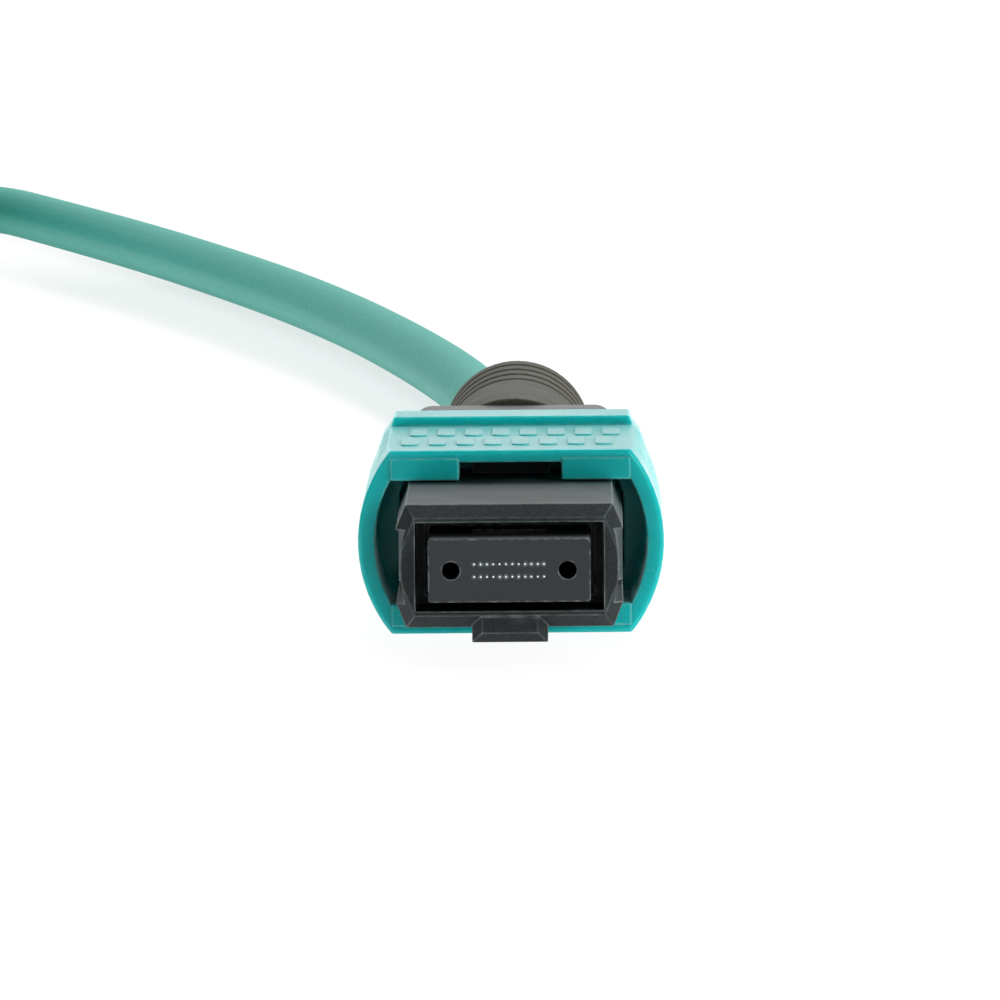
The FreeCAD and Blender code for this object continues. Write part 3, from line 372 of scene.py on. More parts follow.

# %% [markdown]
# The ferrule is a precision moulding filled with glass and silica, whose end face is ground and
# polished flat. Up close it is a dark slate colour full of tiny pale specks of filler, with faint
# parallel polishing lines. Its edges are painted paler in broken spots: partly small chips, partly a
# painted highlight along the edge. Specks and lines are drawn coarser than they really are, so that
# they show.

# %% Ferrule resin
def filled_resin():
    material, tree, place = new_material("polished_filled_resin")
    specks = add_node(
        tree, "ShaderNodeTexVoronoi", {"Vector": place, "Scale": per_mm(0.09)}, feature="F1"
    )
    speck = add_node(tree, "ShaderNodeMapRange", [specks, 0.05, 0.3, 0.5, 0.0])
    shade = two_shades(tree, place, per_mm(0.8), 4.0, "#1f2629", "#191f22")[1]
    flecked = add_node(
        tree, "ShaderNodeMix", {"Factor": speck, 6: shade, 7: linear("#33393c")}, 2, data_type="RGBA"
    )
    # Broken paler edge: small chips, and a painted highlight where the edge catches light.
    edge = edge_share(tree, place, 0.4, -0.7)
    chipped_and_lit = add_node(
        tree, "ShaderNodeMix", {"Factor": edge, 6: flecked, 7: linear("#7f878a")}, 2, data_type="RGBA"
    )
    strokes = add_node(tree, "ShaderNodeMapping", {"Vector": place, "Scale": (0.06, 1.0, 1.0)})
    lines = add_node(
        tree, "ShaderNodeTexNoise", {"Vector": strokes, "Scale": per_mm(0.05), "Detail": 2.0}
    )
    return closed_material(material, tree, lines, 0.35, 0.002, {
        "Base Color": chipped_and_lit, "Roughness": 0.38, "IOR": 1.5, "Specular IOR Level": 0.3,
    })


FERRULE_RESIN = filled_resin()

# %% [markdown]
# A polished glass fibre end is an eighth of a millimetre across. Its core carries any light that
# enters the cable elsewhere, so it always looks like a bright pale dot in the dark ferrule, and its
# pale colour is painted light for that. The cladding round it is nearly as dark as the resin, and both
# shine a little by themselves, which also stands for that carried light without any lamp.

# %% Fibre glass
def fibre_glass():
    material, tree, place = new_material("polished_fibre_glass")
    cloud, cladding = two_shades(tree, place, per_mm(0.12), 1.0, "#3a4447", "#2d3639")
    core = add_node(tree, "ShaderNodeAttribute", output="Fac", attribute_name="core")
    # The core's pale colour is painted light: the light the fibre carries in from elsewhere.
    shade = add_node(
        tree, "ShaderNodeMix", {"Factor": core, 6: cladding, 7: linear("#dbe5e5")}, 2, data_type="RGBA"
    )
    return closed_material(material, tree, cloud, 0.1, 0.001, {
        "Base Color": shade, "Emission Color": shade, "Emission Strength": 0.12,
        "Roughness": 0.12, "IOR": 1.46,
    })


FIBRE_GLASS = fibre_glass()

# %% [markdown]
# The springs are drawn stainless wire and the crimp ring is turned and pressed metal. Both are bare
# metal, so their colour is in the reflection. Drawing and turning leave fine lines round the axis,
# which are a noise stretched along the line, and the roughness follows the same lines.

# %% Metals
def bare_metal(name, bright, dull, roughness, stretch, line_width):
    """Bare metal with fine tool lines: stretch squeezes the pattern along its lines."""
    material, tree, place = new_material(name)
    along = add_node(tree, "ShaderNodeMapping", {"Vector": place, "Scale": stretch})
    lines = add_node(
        tree, "ShaderNodeTexNoise", {"Vector": along, "Scale": per_mm(line_width), "Detail": 3.0}
    )
    shade = two_shades(tree, place, per_mm(1.5), 3.0, bright, dull)[1]
    gloss = add_node(tree, "ShaderNodeMapRange", [lines, 0.3, 0.7, roughness - 0.08, roughness + 0.1])
    return closed_material(material, tree, lines, 0.4, 0.003, {
        "Base Color": shade, "Roughness": gloss, "Metallic": 1.0,
    })


# Drawn stainless spring wire: bright, with fine die lines along the wire.
SPRING_WIRE = bare_metal("drawn_stainless_wire", "#c9c8c4", "#a9a8a3", 0.28, (1.0, 0.3, 1.0), 0.04)
# Pressed and plated brass crimp ring: soft grey metal with turning lines round it.
CRIMP_METAL = bare_metal("turned_plated_brass", "#c4c2bb", "#a7a59e", 0.36, (0.1, 1.0, 0.1), 0.08)

# %% [markdown]
# The cable jacket is extruded aqua low-smoke compound. Extrusion gives it a satin skin with a very
# fine pebble, faint long streaks from the die, and a milky bloom that makes it paler and greyer than
# the moulded sleeve. The streaks follow the cable, so they use the curve's own UV map.

# %% Cable jacket
def extruded_jacket():
    material, tree, place = new_material("extruded_aqua_jacket")
    along = add_node(tree, "ShaderNodeTexCoord", output="UV")
    streaks = add_node(tree, "ShaderNodeMapping", {"Vector": along, "Scale": (40.0, 26.0, 1.0)})
    shade = two_shades(tree, streaks, 1.0, 2.0, "#3ca092", "#35958a")[1]
    pebble = add_node(
        tree, "ShaderNodeTexNoise", {"Vector": place, "Scale": per_mm(0.25), "Detail": 2.0}
    )
    gloss = add_node(tree, "ShaderNodeMapRange", [pebble, 0.3, 0.7, 0.5, 0.65])
    return closed_material(material, tree, pebble, 0.5, 0.012, {
        "Base Color": shade, "Roughness": gloss, "IOR": 1.48, "Specular IOR Level": 0.25,
    })


JACKET = extruded_jacket()

# %% [markdown]
# Inside, each ribbon is twelve coated fibres in the usual twelve colours, the strength members are
# yellow aramid yarn, and the coil is held by a strip of black hook-and-loop tape.

# %% Ribbon coating, yarn and tape
FIBRE_COLOURS = [
    "#2a62b8", "#e07a1f", "#2f9a4a", "#7a5230", "#7c8a93", "#eef0f0",
    "#c22f33", "#26282a", "#e8c832", "#7a4a9e", "#e59ab0", "#4fc3c7",
]


def ribbon_coating():
    """Glossy cured acrylate. Each fibre's colour comes from its number, kept as an attribute."""
    material, tree, place = new_material("cured_acrylate_coating")
    number = add_node(tree, "ShaderNodeAttribute", output="Fac", attribute_name="fibre_number")
    ramp = add_node(tree, "ShaderNodeValToRGB", {"Fac": number})
    ramp.node.color_ramp.interpolation = "CONSTANT"
    stops = ramp.node.color_ramp.elements
    for count, colour in enumerate(FIBRE_COLOURS):
        at = count / len(FIBRE_COLOURS)
        stop = stops[count] if count < 2 else stops.new(at)
        stop.position = at
        stop.color = linear(colour)
    ripple = add_node(
        tree, "ShaderNodeTexNoise", {"Vector": place, "Scale": per_mm(0.6), "Detail": 1.0}
    )
    return closed_material(material, tree, ripple, 0.3, 0.004, {
        "Base Color": ramp, "Roughness": 0.22, "IOR": 1.5,
    })


def fibrous(name, light, dark, fibre_width, stretch, depth, roughness):
    """A textile: two shades mixed by stretched noise as wide as its fibres, with sheen."""
    material, tree, place = new_material(name)
    along = add_node(tree, "ShaderNodeMapping", {"Vector": place, "Scale": stretch})
    strands, shade = two_shades(tree, along, per_mm(fibre_width), 3.0, dark, light)
    return closed_material(material, tree, strands, 0.8, depth, {
        "Base Color": shade, "Roughness": roughness, "Sheen Weight": 0.3,
    })


RIBBON_COATING = ribbon_coating()
# Aramid yarn: straw yellow, silky along its strands.
ARAMID_YARN = fibrous("twisted_aramid_yarn", "#e6c35c", "#b98d2e", 0.06, (1.0, 0.1, 1.0), 0.03, 0.6)
# Hook-and-loop tape: black nylon loops that scatter light, so it never shines.
LOOP_TAPE = fibrous("woven_hook_and_loop_tape", "#2b2b2e", "#121214", 0.25, (1.0, 1.0, 1.0), 0.1, 0.9)
print(f"{len(bpy.data.materials)} finishes in all")

# %% [markdown]
# Moulded and pressed pieces keep the construction model's shape, but a real edge is never perfectly
# sharp. A copy of the node's mesh is merged, its flat facets are joined, and a Bevel modifier rounds
# each edge by a few hundredths of a millimetre, which makes thin lines of light along them; the
# materials' painted pale edges add to those lines. Three pieces are also shifted a little on the way,
# by less than a fifth of a millimetre.

# %% Pieces with rounded edges
SHARP_ANGLE = math.radians(28)
FLAT_ANGLE = math.radians(0.5)
MERGE_GAP = 0.0008 * MM
NEAR = 0.02


@contextmanager
def edited(mesh):
    """Opens a mesh for changes to its shape, and writes them back."""
    shape = bmesh.new()
    shape.from_mesh(mesh)
    yield shape
    shape.to_mesh(mesh)
    shape.free()


def shaded(mesh):
    """The mesh with smooth shading between its sharp edges."""
    mesh.shade_smooth()
    mesh.set_sharp_from_angle(angle=SHARP_ANGLE)
    return mesh


def add_piece(name, mesh, material, body, slot):
    """A finished piece: its object sits at the origin, and it rides on a body of the frame."""
    piece = bpy.data.objects.new(name, mesh)
    SCENE.collection.objects.link(piece)
    mesh.materials.clear()
    mesh.materials.append(material)
    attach(piece, body)
    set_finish(piece, slot)
    return piece


def round_edges(piece, radius, segments=2, limit="ANGLE"):
    """Round the sharp edges, or only the weighted ones."""
    bevel = piece.modifiers.new("rounded_edges", "BEVEL")
    bevel.width = radius * MM
    bevel.segments = segments
    bevel.limit_method = limit
    bevel.angle_limit = SHARP_ANGLE
    bevel.use_clamp_overlap = False
    bevel.harden_normals = True


def joined_copy(node, reshaped=None):
    """A copy of a node's loose triangles as one closed mesh, reshaped a little, flat faces joined."""
    mesh = NODES[node].data.copy()
    with edited(mesh) as shape:
        bmesh.ops.remove_doubles(shape, verts=shape.verts, dist=MERGE_GAP)
        for corner in shape.verts if reshaped else ():
            across, along, up = (v / MM for v in corner.co)
            side, level = reshaped(abs(across), along, abs(up))
            corner.co.x = math.copysign(side * MM, across)
            corner.co.z = math.copysign(level * MM, up)
        bmesh.ops.dissolve_limit(
            shape, angle_limit=FLAT_ANGLE, verts=shape.verts, edges=shape.edges, delimit=set()
        )
        bmesh.ops.recalc_face_normals(shape, faces=shape.faces)
    return shaded(mesh)


def moulded_piece(name, node, material, body, slot, radius, segments=2, reshaped=None):
    piece = add_piece(name, joined_copy(node, reshaped), material, body, slot)
    round_edges(piece, radius, segments)
    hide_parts(node)
    print(f"{name}: {len(piece.data.polygons)} faces before its edges are rounded")
    return piece


housing = moulded_piece(
    "plug_housing", "inner_housing", CHARCOAL_PLASTIC, "connector", "housing_plastic", 0.027
)

# %% [markdown]
# The sleeve is a little squarer behind its rim than its construction solid, its lips lean in, and
# its grooves run out at the flat top. The grooves' side walls are thin crescents with one hollow
# edge. Rounding would fill across the hollow, so those walls are first cut into simple faces.

# %% Sleeve
SLEEVE_ARC = {"centre": 0.374, "radius": 5.826, "skin": 0.3}
FLAT_EDGE = 4.85
GROOVE_ROOT = 4.613
LIP_LEVEL = 4.0
FULL_SHOULDER = {"rear_of": 13.0, "from": 2.6, "to": 3.3, "by": 0.18}
GROOVED_LENGTH = (13.5, 23.0)


def full_shoulders(side, along, level):
    """Moves a point of the sleeve's outer skin; the inside and the rim stay."""
    depth = SLEEVE_ARC["radius"] - math.hypot(side - SLEEVE_ARC["centre"], level)
    if depth > SLEEVE_ARC["skin"] or along < FULL_SHOULDER["rear_of"]:
        return side, level
    if abs(side - GROOVE_ROOT) < NEAR:
        side = FLAT_EDGE - NEAR
    share = eased((level - FULL_SHOULDER["from"]) / (FULL_SHOULDER["to"] - FULL_SHOULDER["from"]))
    outward = NEAR if level > LIP_LEVEL else FULL_SHOULDER["by"]
    return side + outward * share, level


def split_crescents(piece):
    """Cuts the grooves' crescent walls into simple faces."""
    with edited(piece.data) as shape:
        walls = [
            face for face in shape.faces if abs(face.normal.y) > 0.99
            and GROOVED_LENGTH[0] < face.calc_center_median().y / MM < GROOVED_LENGTH[1]
        ]
        bmesh.ops.connect_verts_concave(shape, faces=walls)
    print(f"{piece.name}: {len(walls)} groove walls split")


sleeve = moulded_piece(
    "grip_sleeve", "coupling_sleeve", AQUA_PLASTIC, "coupling", "sleeve_plastic", 0.07, 3,
    full_shoulders,
)
split_crescents(sleeve)

# %% [markdown]
# The ferrule's four long corners are rounder than its other edges. Edge weights pick them out for a
# Bevel of their own, which has to come before the one that rounds the rest.

# %% Ferrule
CORNER_RADIUS = 0.13


def round_long_corners(piece, radius, segments=4):
    """Rounds the four edges that run back from the front face's corners."""
    mesh = piece.data
    face = min(corner.co.y for corner in mesh.vertices)
    on_face = [corner.co for corner in mesh.vertices if corner.co.y - face < NEAR * MM]
    reach_x = max(corner.x for corner in on_face)
    reach_z = max(corner.z for corner in on_face)
    weights = mesh.attributes.new("bevel_weight_edge", "FLOAT", "EDGE")
    for edge in mesh.edges:
        ends = [mesh.vertices[number].co for number in edge.vertices]
        outermost = all(
            abs(reach_x - abs(end.x)) < NEAR * MM and abs(reach_z - abs(end.z)) < NEAR * MM
            for end in ends
        )
        runs_back = abs(ends[0].y - ends[1].y) > NEAR * MM
        weights.data[edge.index].value = 1.0 if outermost and runs_back else 0.0
    round_edges(piece, radius, segments, "WEIGHT")
    piece.modifiers.move(len(piece.modifiers) - 1, 0)
    print(f"{piece.name}: {sum(weight.value for weight in weights.data):.0f} long corners rounded")


block = moulded_piece(
    "ferrule_block", "ferrule", FERRULE_RESIN, "ferrule_group", "ferrule_resin", 0.018
)
round_long_corners(block, CORNER_RADIUS)

# %% [markdown]
# Behind the sleeve, the crimp body's finger block is a hair lower than its construction solid, and
# the boot's rear swells a little beyond its construction cone.

# %% Crimp body and boot
FINGER_BLOCK = {"from": 28.8, "to": 35.1, "above": 2.5, "height": 0.975}
BOOT_SWELL = {"from": 44.0, "over": 8.0, "by": 0.03}


def lower_block(side, along, level):
    inside = FINGER_BLOCK["from"] < along < FINGER_BLOCK["to"] and level > FINGER_BLOCK["above"]
    return side, level * (FINGER_BLOCK["height"] if inside else 1)


def swollen_boot(side, along, level):
    swell = 1 + BOOT_SWELL["by"] * eased((along - BOOT_SWELL["from"]) / BOOT_SWELL["over"])
    return side * swell, level * swell


push_body = moulded_piece(
    "crimp_push_body", "crimp_body", CRIMP_PLASTIC, "connector", "crimp_body_plastic", 0.05,
    reshaped=lower_block,
)
boot = moulded_piece(
    "ringed_boot", "strain_relief_boot", BOOT_RUBBER, "connector", "boot_rubber", 0.12, 3, swollen_boot
)
tie = moulded_piece("coil_strap", "coil_tie", LOOP_TAPE, "connector", "hook_and_loop", 0.15)

# %% [markdown]
# Some small nodes inside the connector already have the right shape, so they stay and only get
# their finish: the soft grommet, the pin clamp, the crimp ring.

# %% Nodes that stay as they are
for node, material in (
    ("ferrule_boot", GROMMET_RUBBER), ("pin_clamp", CLAMP_PLASTIC), ("crimp_ring", CRIMP_METAL),
):
    NODES[node].data.materials.clear()
    NODES[node].data.materials.append(material)

# %% [markdown]
# Anything that repeats comes from Geometry Nodes: a few nodes hold the rule, and the sizes are named
# inputs that can be changed later. Each tree ends in Realize Instances and Set Material, because a
# copy that is only an instance would be lost in an export, and its result is kept as a plain mesh.

# %% Geometry tree helpers
def new_tree(name, sizes):
    """A geometry tree with one named input for each size, and the outputs of its input node."""
    tree = bpy.data.node_groups.new(name, "GeometryNodeTree")
    for label, size in sizes.items():
        kind = "NodeSocketInt" if isinstance(size, int) else "NodeSocketFloat"
        tree.interface.new_socket(label, in_out="INPUT", socket_type=kind)
    tree.interface.new_socket("Geometry", in_out="OUTPUT", socket_type="NodeSocketGeometry")
    return tree, add_node(tree, "NodeGroupInput").node.outputs


def closed_tree(tree, geometry, material):
    real = add_node(tree, "GeometryNodeRealizeInstances", {"Geometry": geometry})
    painted = add_node(tree, "GeometryNodeSetMaterial", {"Geometry": real, "Material": material})
    add_node(tree, "NodeGroupOutput", {"Geometry": painted})
    return tree


def grown_mesh(name, tree, sizes):
    """Runs a tree once with these sizes and keeps the result as a plain mesh."""
    holder = bpy.data.objects.new(name, bpy.data.meshes.new(name))
    SCENE.collection.objects.link(holder)
    rule = holder.modifiers.new("rule", "NODES")
    rule.node_group = tree
    for item in tree.interface.items_tree:
        if item.in_out == "INPUT":
            rule[item.identifier] = sizes[item.name]
    graph = bpy.context.evaluated_depsgraph_get()
    mesh = bpy.data.meshes.new_from_object(holder.evaluated_get(graph))
    bpy.data.objects.remove(holder)
    with edited(mesh) as shape:
        bmesh.ops.remove_doubles(shape, verts=shape.verts, dist=MERGE_GAP)
        bmesh.ops.recalc_face_normals(shape, faces=shape.faces)
    print(f"{name}: {len(mesh.polygons)} faces")
    return mesh


# %% [markdown]
# Compression springs are wound from round wire. The turns at both ends lie flat against each other,
# and the turns between them share the rest of the length. A line of points is bent into that helix
# by arithmetic on each point's share of the way, and a round profile is swept along it.

# %% Springs
SPRING_SIZES = {
    "Points": 240, "Turns": 8.0, "Length": 0.0, "Half Width": 0.0, "Half Height": 0.0,
    "Wire": 0.0, "Centre": 0.0, "Front": 0.0,
}
CLOSED_TURNS = 2.0


def spring_tree():
    tree, given = new_tree("wound_spring", SPRING_SIZES)
    turns, wire = given["Turns"], given["Wire"]
    line = add_node(tree, "GeometryNodeMeshLine", {"Count": given["Points"]})
    at = add_node(tree, "GeometryNodeInputIndex")
    turned = formula(tree, ("MULTIPLY", ("DIVIDE", at, ("SUBTRACT", given["Points"], 1.0)), turns))
    free_turns = formula(tree, ("SUBTRACT", turns, CLOSED_TURNS))
    inner = formula(tree, ("MINIMUM", ("MAXIMUM", ("SUBTRACT", turned, 1.0), 0.0), free_turns))
    closed = ("MULTIPLY", wire, CLOSED_TURNS + 1)
    pitch = ("DIVIDE", ("SUBTRACT", given["Length"], closed), free_turns)
    rise = ("ADD", ("MULTIPLY", ("SUBTRACT", turned, inner), wire), ("MULTIPLY", inner, pitch))
    half_wire = formula(tree, ("MULTIPLY", wire, 0.5))
    angle = formula(tree, ("MULTIPLY", turned, math.tau))
    place = add_node(
        tree, "ShaderNodeCombineXYZ",
        [
            ("ADD", ("MULTIPLY", ("COSINE", angle), given["Half Width"]), given["Centre"]),
            ("ADD", ("ADD", given["Front"], half_wire), rise),
            ("MULTIPLY", ("SINE", angle), given["Half Height"]),
        ],
    )
    helix = add_node(tree, "GeometryNodeSetPosition", {"Geometry": line, "Position": place})
    path = add_node(tree, "GeometryNodeMeshToCurve", {"Mesh": helix})
    profile = add_node(
        tree, "GeometryNodeCurvePrimitiveCircle", {"Radius": half_wire, "Resolution": 10}
    )
    swept = add_node(
        tree, "GeometryNodeCurveToMesh", {"Curve": path, "Profile Curve": profile, "Fill Caps": True}
    )
    return closed_tree(tree, swept, SPRING_WIRE)


SPRING_TREE = spring_tree()


def wound_spring(name, node, wire, turns, points):
    """Round wire in the place of a node's square one. It shortens towards its rear end."""
    low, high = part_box(node)
    size = high - low
    sizes = {
        "Points": points, "Turns": turns, "Length": size.y, "Wire": wire * MM,
        "Half Width": (size.x - wire * MM) / 2, "Half Height": (size.z - wire * MM) / 2,
        "Centre": (low.x + high.x) / 2, "Front": low.y,
    }
    mesh = grown_mesh(name, SPRING_TREE, sizes)
    mesh.shade_smooth()
    piece = add_piece(name, mesh, SPRING_WIRE, "connector", "spring_wire")
    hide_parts(node)
    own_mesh(piece)


for side in ("left", "right"):
    wound_spring(
        f"sleeve_spring_wire_{side}", f"sleeve_spring_{side}",
        wire=0.2, turns=8.0, points=200,
    )
wound_spring(
    "ferrule_spring_wire", "ferrule_spring",
    wire=0.4, turns=7.0, points=260,
)

# %% [markdown]
# Twenty-four fibres end in the ferrule's polished face, in two rows of twelve on a quarter of a
# millimetre. A grid of points carries a small cylinder each, and a thinner one for its core, which is
# drawn wider than a real one so that it shows. Spacings and thicknesses are the named inputs.

# %% Fibre ends
FIBRE_SIZES = {
    "Fibres Per Row": 12, "Rows": 2, "Row Width": 2.75 * MM, "Row Pitch": 0.5 * MM,
    "Thickness": 0.125 * MM, "Core Thickness": 0.07 * MM, "Core Rise": 0.002 * MM, "Length": 4.9 * MM,
}


def fibre_tree():
    tree, given = new_tree("fibre_rows", FIBRE_SIZES)
    grid = add_node(
        tree, "GeometryNodeMeshGrid",
        {"Size X": given["Row Width"], "Size Y": given["Row Pitch"],
         "Vertices X": given["Fibres Per Row"], "Vertices Y": given["Rows"]},
    )
    strands = []
    for thickness, rise, core in (("Thickness", 0.0, 0.0), ("Core Thickness", given["Core Rise"], 1.0)):
        strand = add_node(
            tree, "GeometryNodeMeshCylinder",
            {"Radius": ("MULTIPLY", given[thickness], 0.5), "Depth": given["Length"], "Vertices": 16},
        )
        marked = add_node(
            tree, "GeometryNodeStoreNamedAttribute",
            {"Geometry": strand, "Name": "core", "Value": core}, data_type="FLOAT", domain="POINT",
        )
        back = add_node(
            tree, "ShaderNodeCombineXYZ", {"Z": ("ADD", ("MULTIPLY", given["Length"], -0.5), rise)}
        )
        strands.append(
            add_node(tree, "GeometryNodeTransform", {"Geometry": marked, "Translation": back})
        )
    both = add_node(tree, "GeometryNodeJoinGeometry", {"Geometry": strands})
    rows = add_node(tree, "GeometryNodeInstanceOnPoints", {"Points": grid, "Instance": both})
    upright = add_node(
        tree, "GeometryNodeTransform", {"Geometry": rows, "Rotation": (math.pi / 2, 0.0, 0.0)}
    )
    return closed_tree(tree, upright, FIBRE_GLASS)


fibre_mesh = grown_mesh("fibre_ends", fibre_tree(), FIBRE_SIZES)
fibres = add_piece("fibre_ends", fibre_mesh, FIBRE_GLASS, "ferrule_group", "fibre_silica")
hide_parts("optical_fibres")

# %% [markdown]
# The grip sleeve's flats carry raised bars for the thumb and finger. They are a plain grid of
# low rounded bars, the rows shifted a little against each other, standing proud of both flats.

# %% Grip bars
BAR_SIZES = {
    "Bars Across": 8, "Rows": 2, "Field Width": 7.9 * MM, "Field Length": 4.3 * MM,
    "Bar Length": 0.72 * MM, "Bar Width": 3.1 * MM, "Bar Height": 0.13 * MM, "Shift": 0.15 * MM,
}
BAR_ROUNDING = 0.42
BAR_SINK = 0.06
LIP_RISE = 0.4
BAR_FIELD_MIDDLE = 17.4


def bar_tree():
    tree, given = new_tree("raised_bars", BAR_SIZES)
    grid = add_node(
        tree, "GeometryNodeMeshGrid",
        {"Size X": given["Field Width"], "Size Y": given["Field Length"],
         "Vertices X": given["Bars Across"], "Vertices Y": given["Rows"]},
    )
    row = ("MODULO", add_node(tree, "GeometryNodeInputIndex"), given["Rows"])
    odd = ("SUBTRACT", ("MULTIPLY", ("MODULO", row, 2.0), 2.0), 1.0)
    aside = add_node(tree, "ShaderNodeCombineXYZ", [("MULTIPLY", odd, given["Shift"])])
    spots = add_node(tree, "GeometryNodeSetPosition", {"Geometry": grid, "Offset": aside})
    outline = add_node(
        tree, "GeometryNodeCurvePrimitiveQuadrilateral",
        {"Width": given["Bar Length"], "Height": given["Bar Width"]},
    )
    rounded = add_node(
        tree, "GeometryNodeFilletCurve",
        {"Curve": outline, "Radius": ("MULTIPLY", given["Bar Length"], BAR_ROUNDING), "Count": 4},
        mode="POLY",
    )
    filled = add_node(tree, "GeometryNodeFillCurve", {"Curve": rounded}, mode="NGONS")
    raised = add_node(
        tree, "GeometryNodeExtrudeMesh",
        {"Mesh": filled, "Offset Scale": given["Bar Height"], "Individual": False},
    )
    under = add_node(tree, "GeometryNodeFlipFaces", {"Mesh": filled})
    bar = add_node(tree, "GeometryNodeJoinGeometry", {"Geometry": [raised, under]})
    field = add_node(tree, "GeometryNodeInstanceOnPoints", {"Points": spots, "Instance": bar})
    return closed_tree(tree, field, AQUA_PLASTIC)


def grip_bars():
    """Both flats' bars as one mesh: the grown field above, and the same turned over below."""
    mesh = grown_mesh("grip_bars", bar_tree(), BAR_SIZES)
    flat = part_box("coupling_sleeve")[1].z - LIP_RISE * MM - BAR_SINK * MM
    middle = Vector((0, BAR_FIELD_MIDDLE * MM, 0))
    with edited(mesh) as shape:
        bmesh.ops.translate(shape, verts=shape.verts, vec=middle + Vector((0, 0, flat)))
        other = bmesh.ops.duplicate(shape, geom=shape.verts[:] + shape.edges[:] + shape.faces[:])
        moved = [item for item in other["geom"] if isinstance(item, bmesh.types.BMVert)]
        bmesh.ops.rotate(shape, verts=moved, cent=middle, matrix=Matrix.Rotation(math.pi, 3, "Y"))
    return shaded(mesh)


bars = add_piece("grip_bars", grip_bars(), AQUA_PLASTIC, "coupling", "sleeve_plastic")
round_edges(bars, 0.05)

# %% [markdown]
# Inside the mouth of the sleeve four rails guide it. Each ends in front in a small block whose edges
# are rounded. The round edge, together with the sleeve plastic's paler edges, which are partly a
# painted highlight, draws a thin pale line round it.

# %% Rail ends
RAIL_END = {"across": (2.07, 4.87), "along": (11.5, 11.95), "up": (2.51, 3.42)}


def rail_ends():
    """Four small blocks, one in each corner of the sleeve's mouth."""
    middle = Vector(sum(ends) / 2 for ends in RAIL_END.values()) * MM
    size = Vector(ends[1] - ends[0] for ends in RAIL_END.values()) * MM
    mesh = bpy.data.meshes.new("rail_ends")
    with edited(mesh) as shape:
        for across in (1, -1):
            for up in (1, -1):
                place = Matrix.Translation(middle * Vector((across, 1, up)))
                bmesh.ops.create_cube(shape, size=1, matrix=place @ Matrix.Diagonal((*size, 1)))
    return shaded(mesh)


rails = add_piece("rail_ends", rail_ends(), AQUA_PLASTIC, "coupling", "sleeve_plastic")
round_edges(rails, 0.09, 3)

# %% [markdown]
# Behind the ferrule the fibres run in two flat ribbons of twelve. Each ribbon is a row of coated
# fibres in a thin clear film. A line of points carries one long cylinder each, and the point's
# number is stored as an attribute, so that the coating's material can give each fibre its colour.

# %% Fibre ribbons
RIBBON_SIZES = {
    "Fibres": 12, "Width": 3.1 * MM, "Fibre Thickness": 0.25 * MM, "Film Thickness": 0.18 * MM,
    "Length": 36.0 * MM, "Front": 0.0, "Level": 0.0,
}


def ribbon_tree():
    tree, given = new_tree("fibre_ribbon", RIBBON_SIZES)
    spread = formula(tree, ("SUBTRACT", given["Width"], given["Fibre Thickness"]))
    step = ("DIVIDE", spread, ("SUBTRACT", given["Fibres"], 1.0))
    offset = add_node(tree, "ShaderNodeCombineXYZ", [step])
    first = add_node(tree, "ShaderNodeCombineXYZ", [("MULTIPLY", spread, -0.5)])
    line = add_node(
        tree, "GeometryNodeMeshLine",
        {"Count": given["Fibres"], "Start Location": first, "Offset": offset},
    )
    strand = add_node(
        tree, "GeometryNodeMeshCylinder",
        {"Radius": ("MULTIPLY", given["Fibre Thickness"], 0.5), "Depth": given["Length"],
         "Vertices": 12},
    )
    lying = add_node(
        tree, "GeometryNodeTransform", {"Geometry": strand, "Rotation": (math.pi / 2, 0.0, 0.0)}
    )
    row = add_node(tree, "GeometryNodeInstanceOnPoints", {"Points": line, "Instance": lying})
    number = ("DIVIDE", ("ADD", add_node(tree, "GeometryNodeInputIndex"), 0.5), given["Fibres"])
    numbered = add_node(
        tree, "GeometryNodeStoreNamedAttribute",
        {"Geometry": row, "Value": number, "Name": "fibre_number"}, data_type="FLOAT",
        domain="INSTANCE",
    )
    film_size = add_node(
        tree, "ShaderNodeCombineXYZ", [given["Width"], given["Length"], given["Film Thickness"]]
    )
    film = add_node(tree, "GeometryNodeMeshCube", {"Size": film_size})
    both = add_node(tree, "GeometryNodeJoinGeometry", {"Geometry": [film, numbered]})
    middle = ("ADD", given["Front"], ("MULTIPLY", given["Length"], 0.5))
    place = add_node(tree, "ShaderNodeCombineXYZ", {"Y": middle, "Z": given["Level"]})
    moved = add_node(tree, "GeometryNodeTransform", {"Geometry": both, "Translation": place})
    return closed_tree(tree, moved, RIBBON_COATING)


RIBBON_TREE = ribbon_tree()
for name in ("upper", "lower"):
    low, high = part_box(f"fibre_ribbon_{name}")
    length = high.y - low.y
    sizes = dict(RIBBON_SIZES, Length=length, Front=low.y, Level=(low.z + high.z) / 2)
    mesh = grown_mesh(f"coated_ribbon_{name}", RIBBON_TREE, sizes)
    ribbon = add_piece(
        f"coated_ribbon_{name}", mesh, RIBBON_COATING, "connector", "ribbon_coating"
    )
    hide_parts(f"fibre_ribbon_{name}")
    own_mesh(ribbon)

# %% [markdown]
# The cable's pull is taken by aramid yarn, folded back over the barrel and pinched under the crimp
# ring. A ring of points carries one slightly wavy strand each, and the wave and the seed are inputs.

# %% Aramid yarn
YARN_SIZES = {
    "Strands": 44, "Radius": 2.29 * MM, "Strand Thickness": 0.2 * MM, "Length": 6.0 * MM,
    "Front": 35.35 * MM, "Wave": 0.05 * MM, "Seed": 7,
}


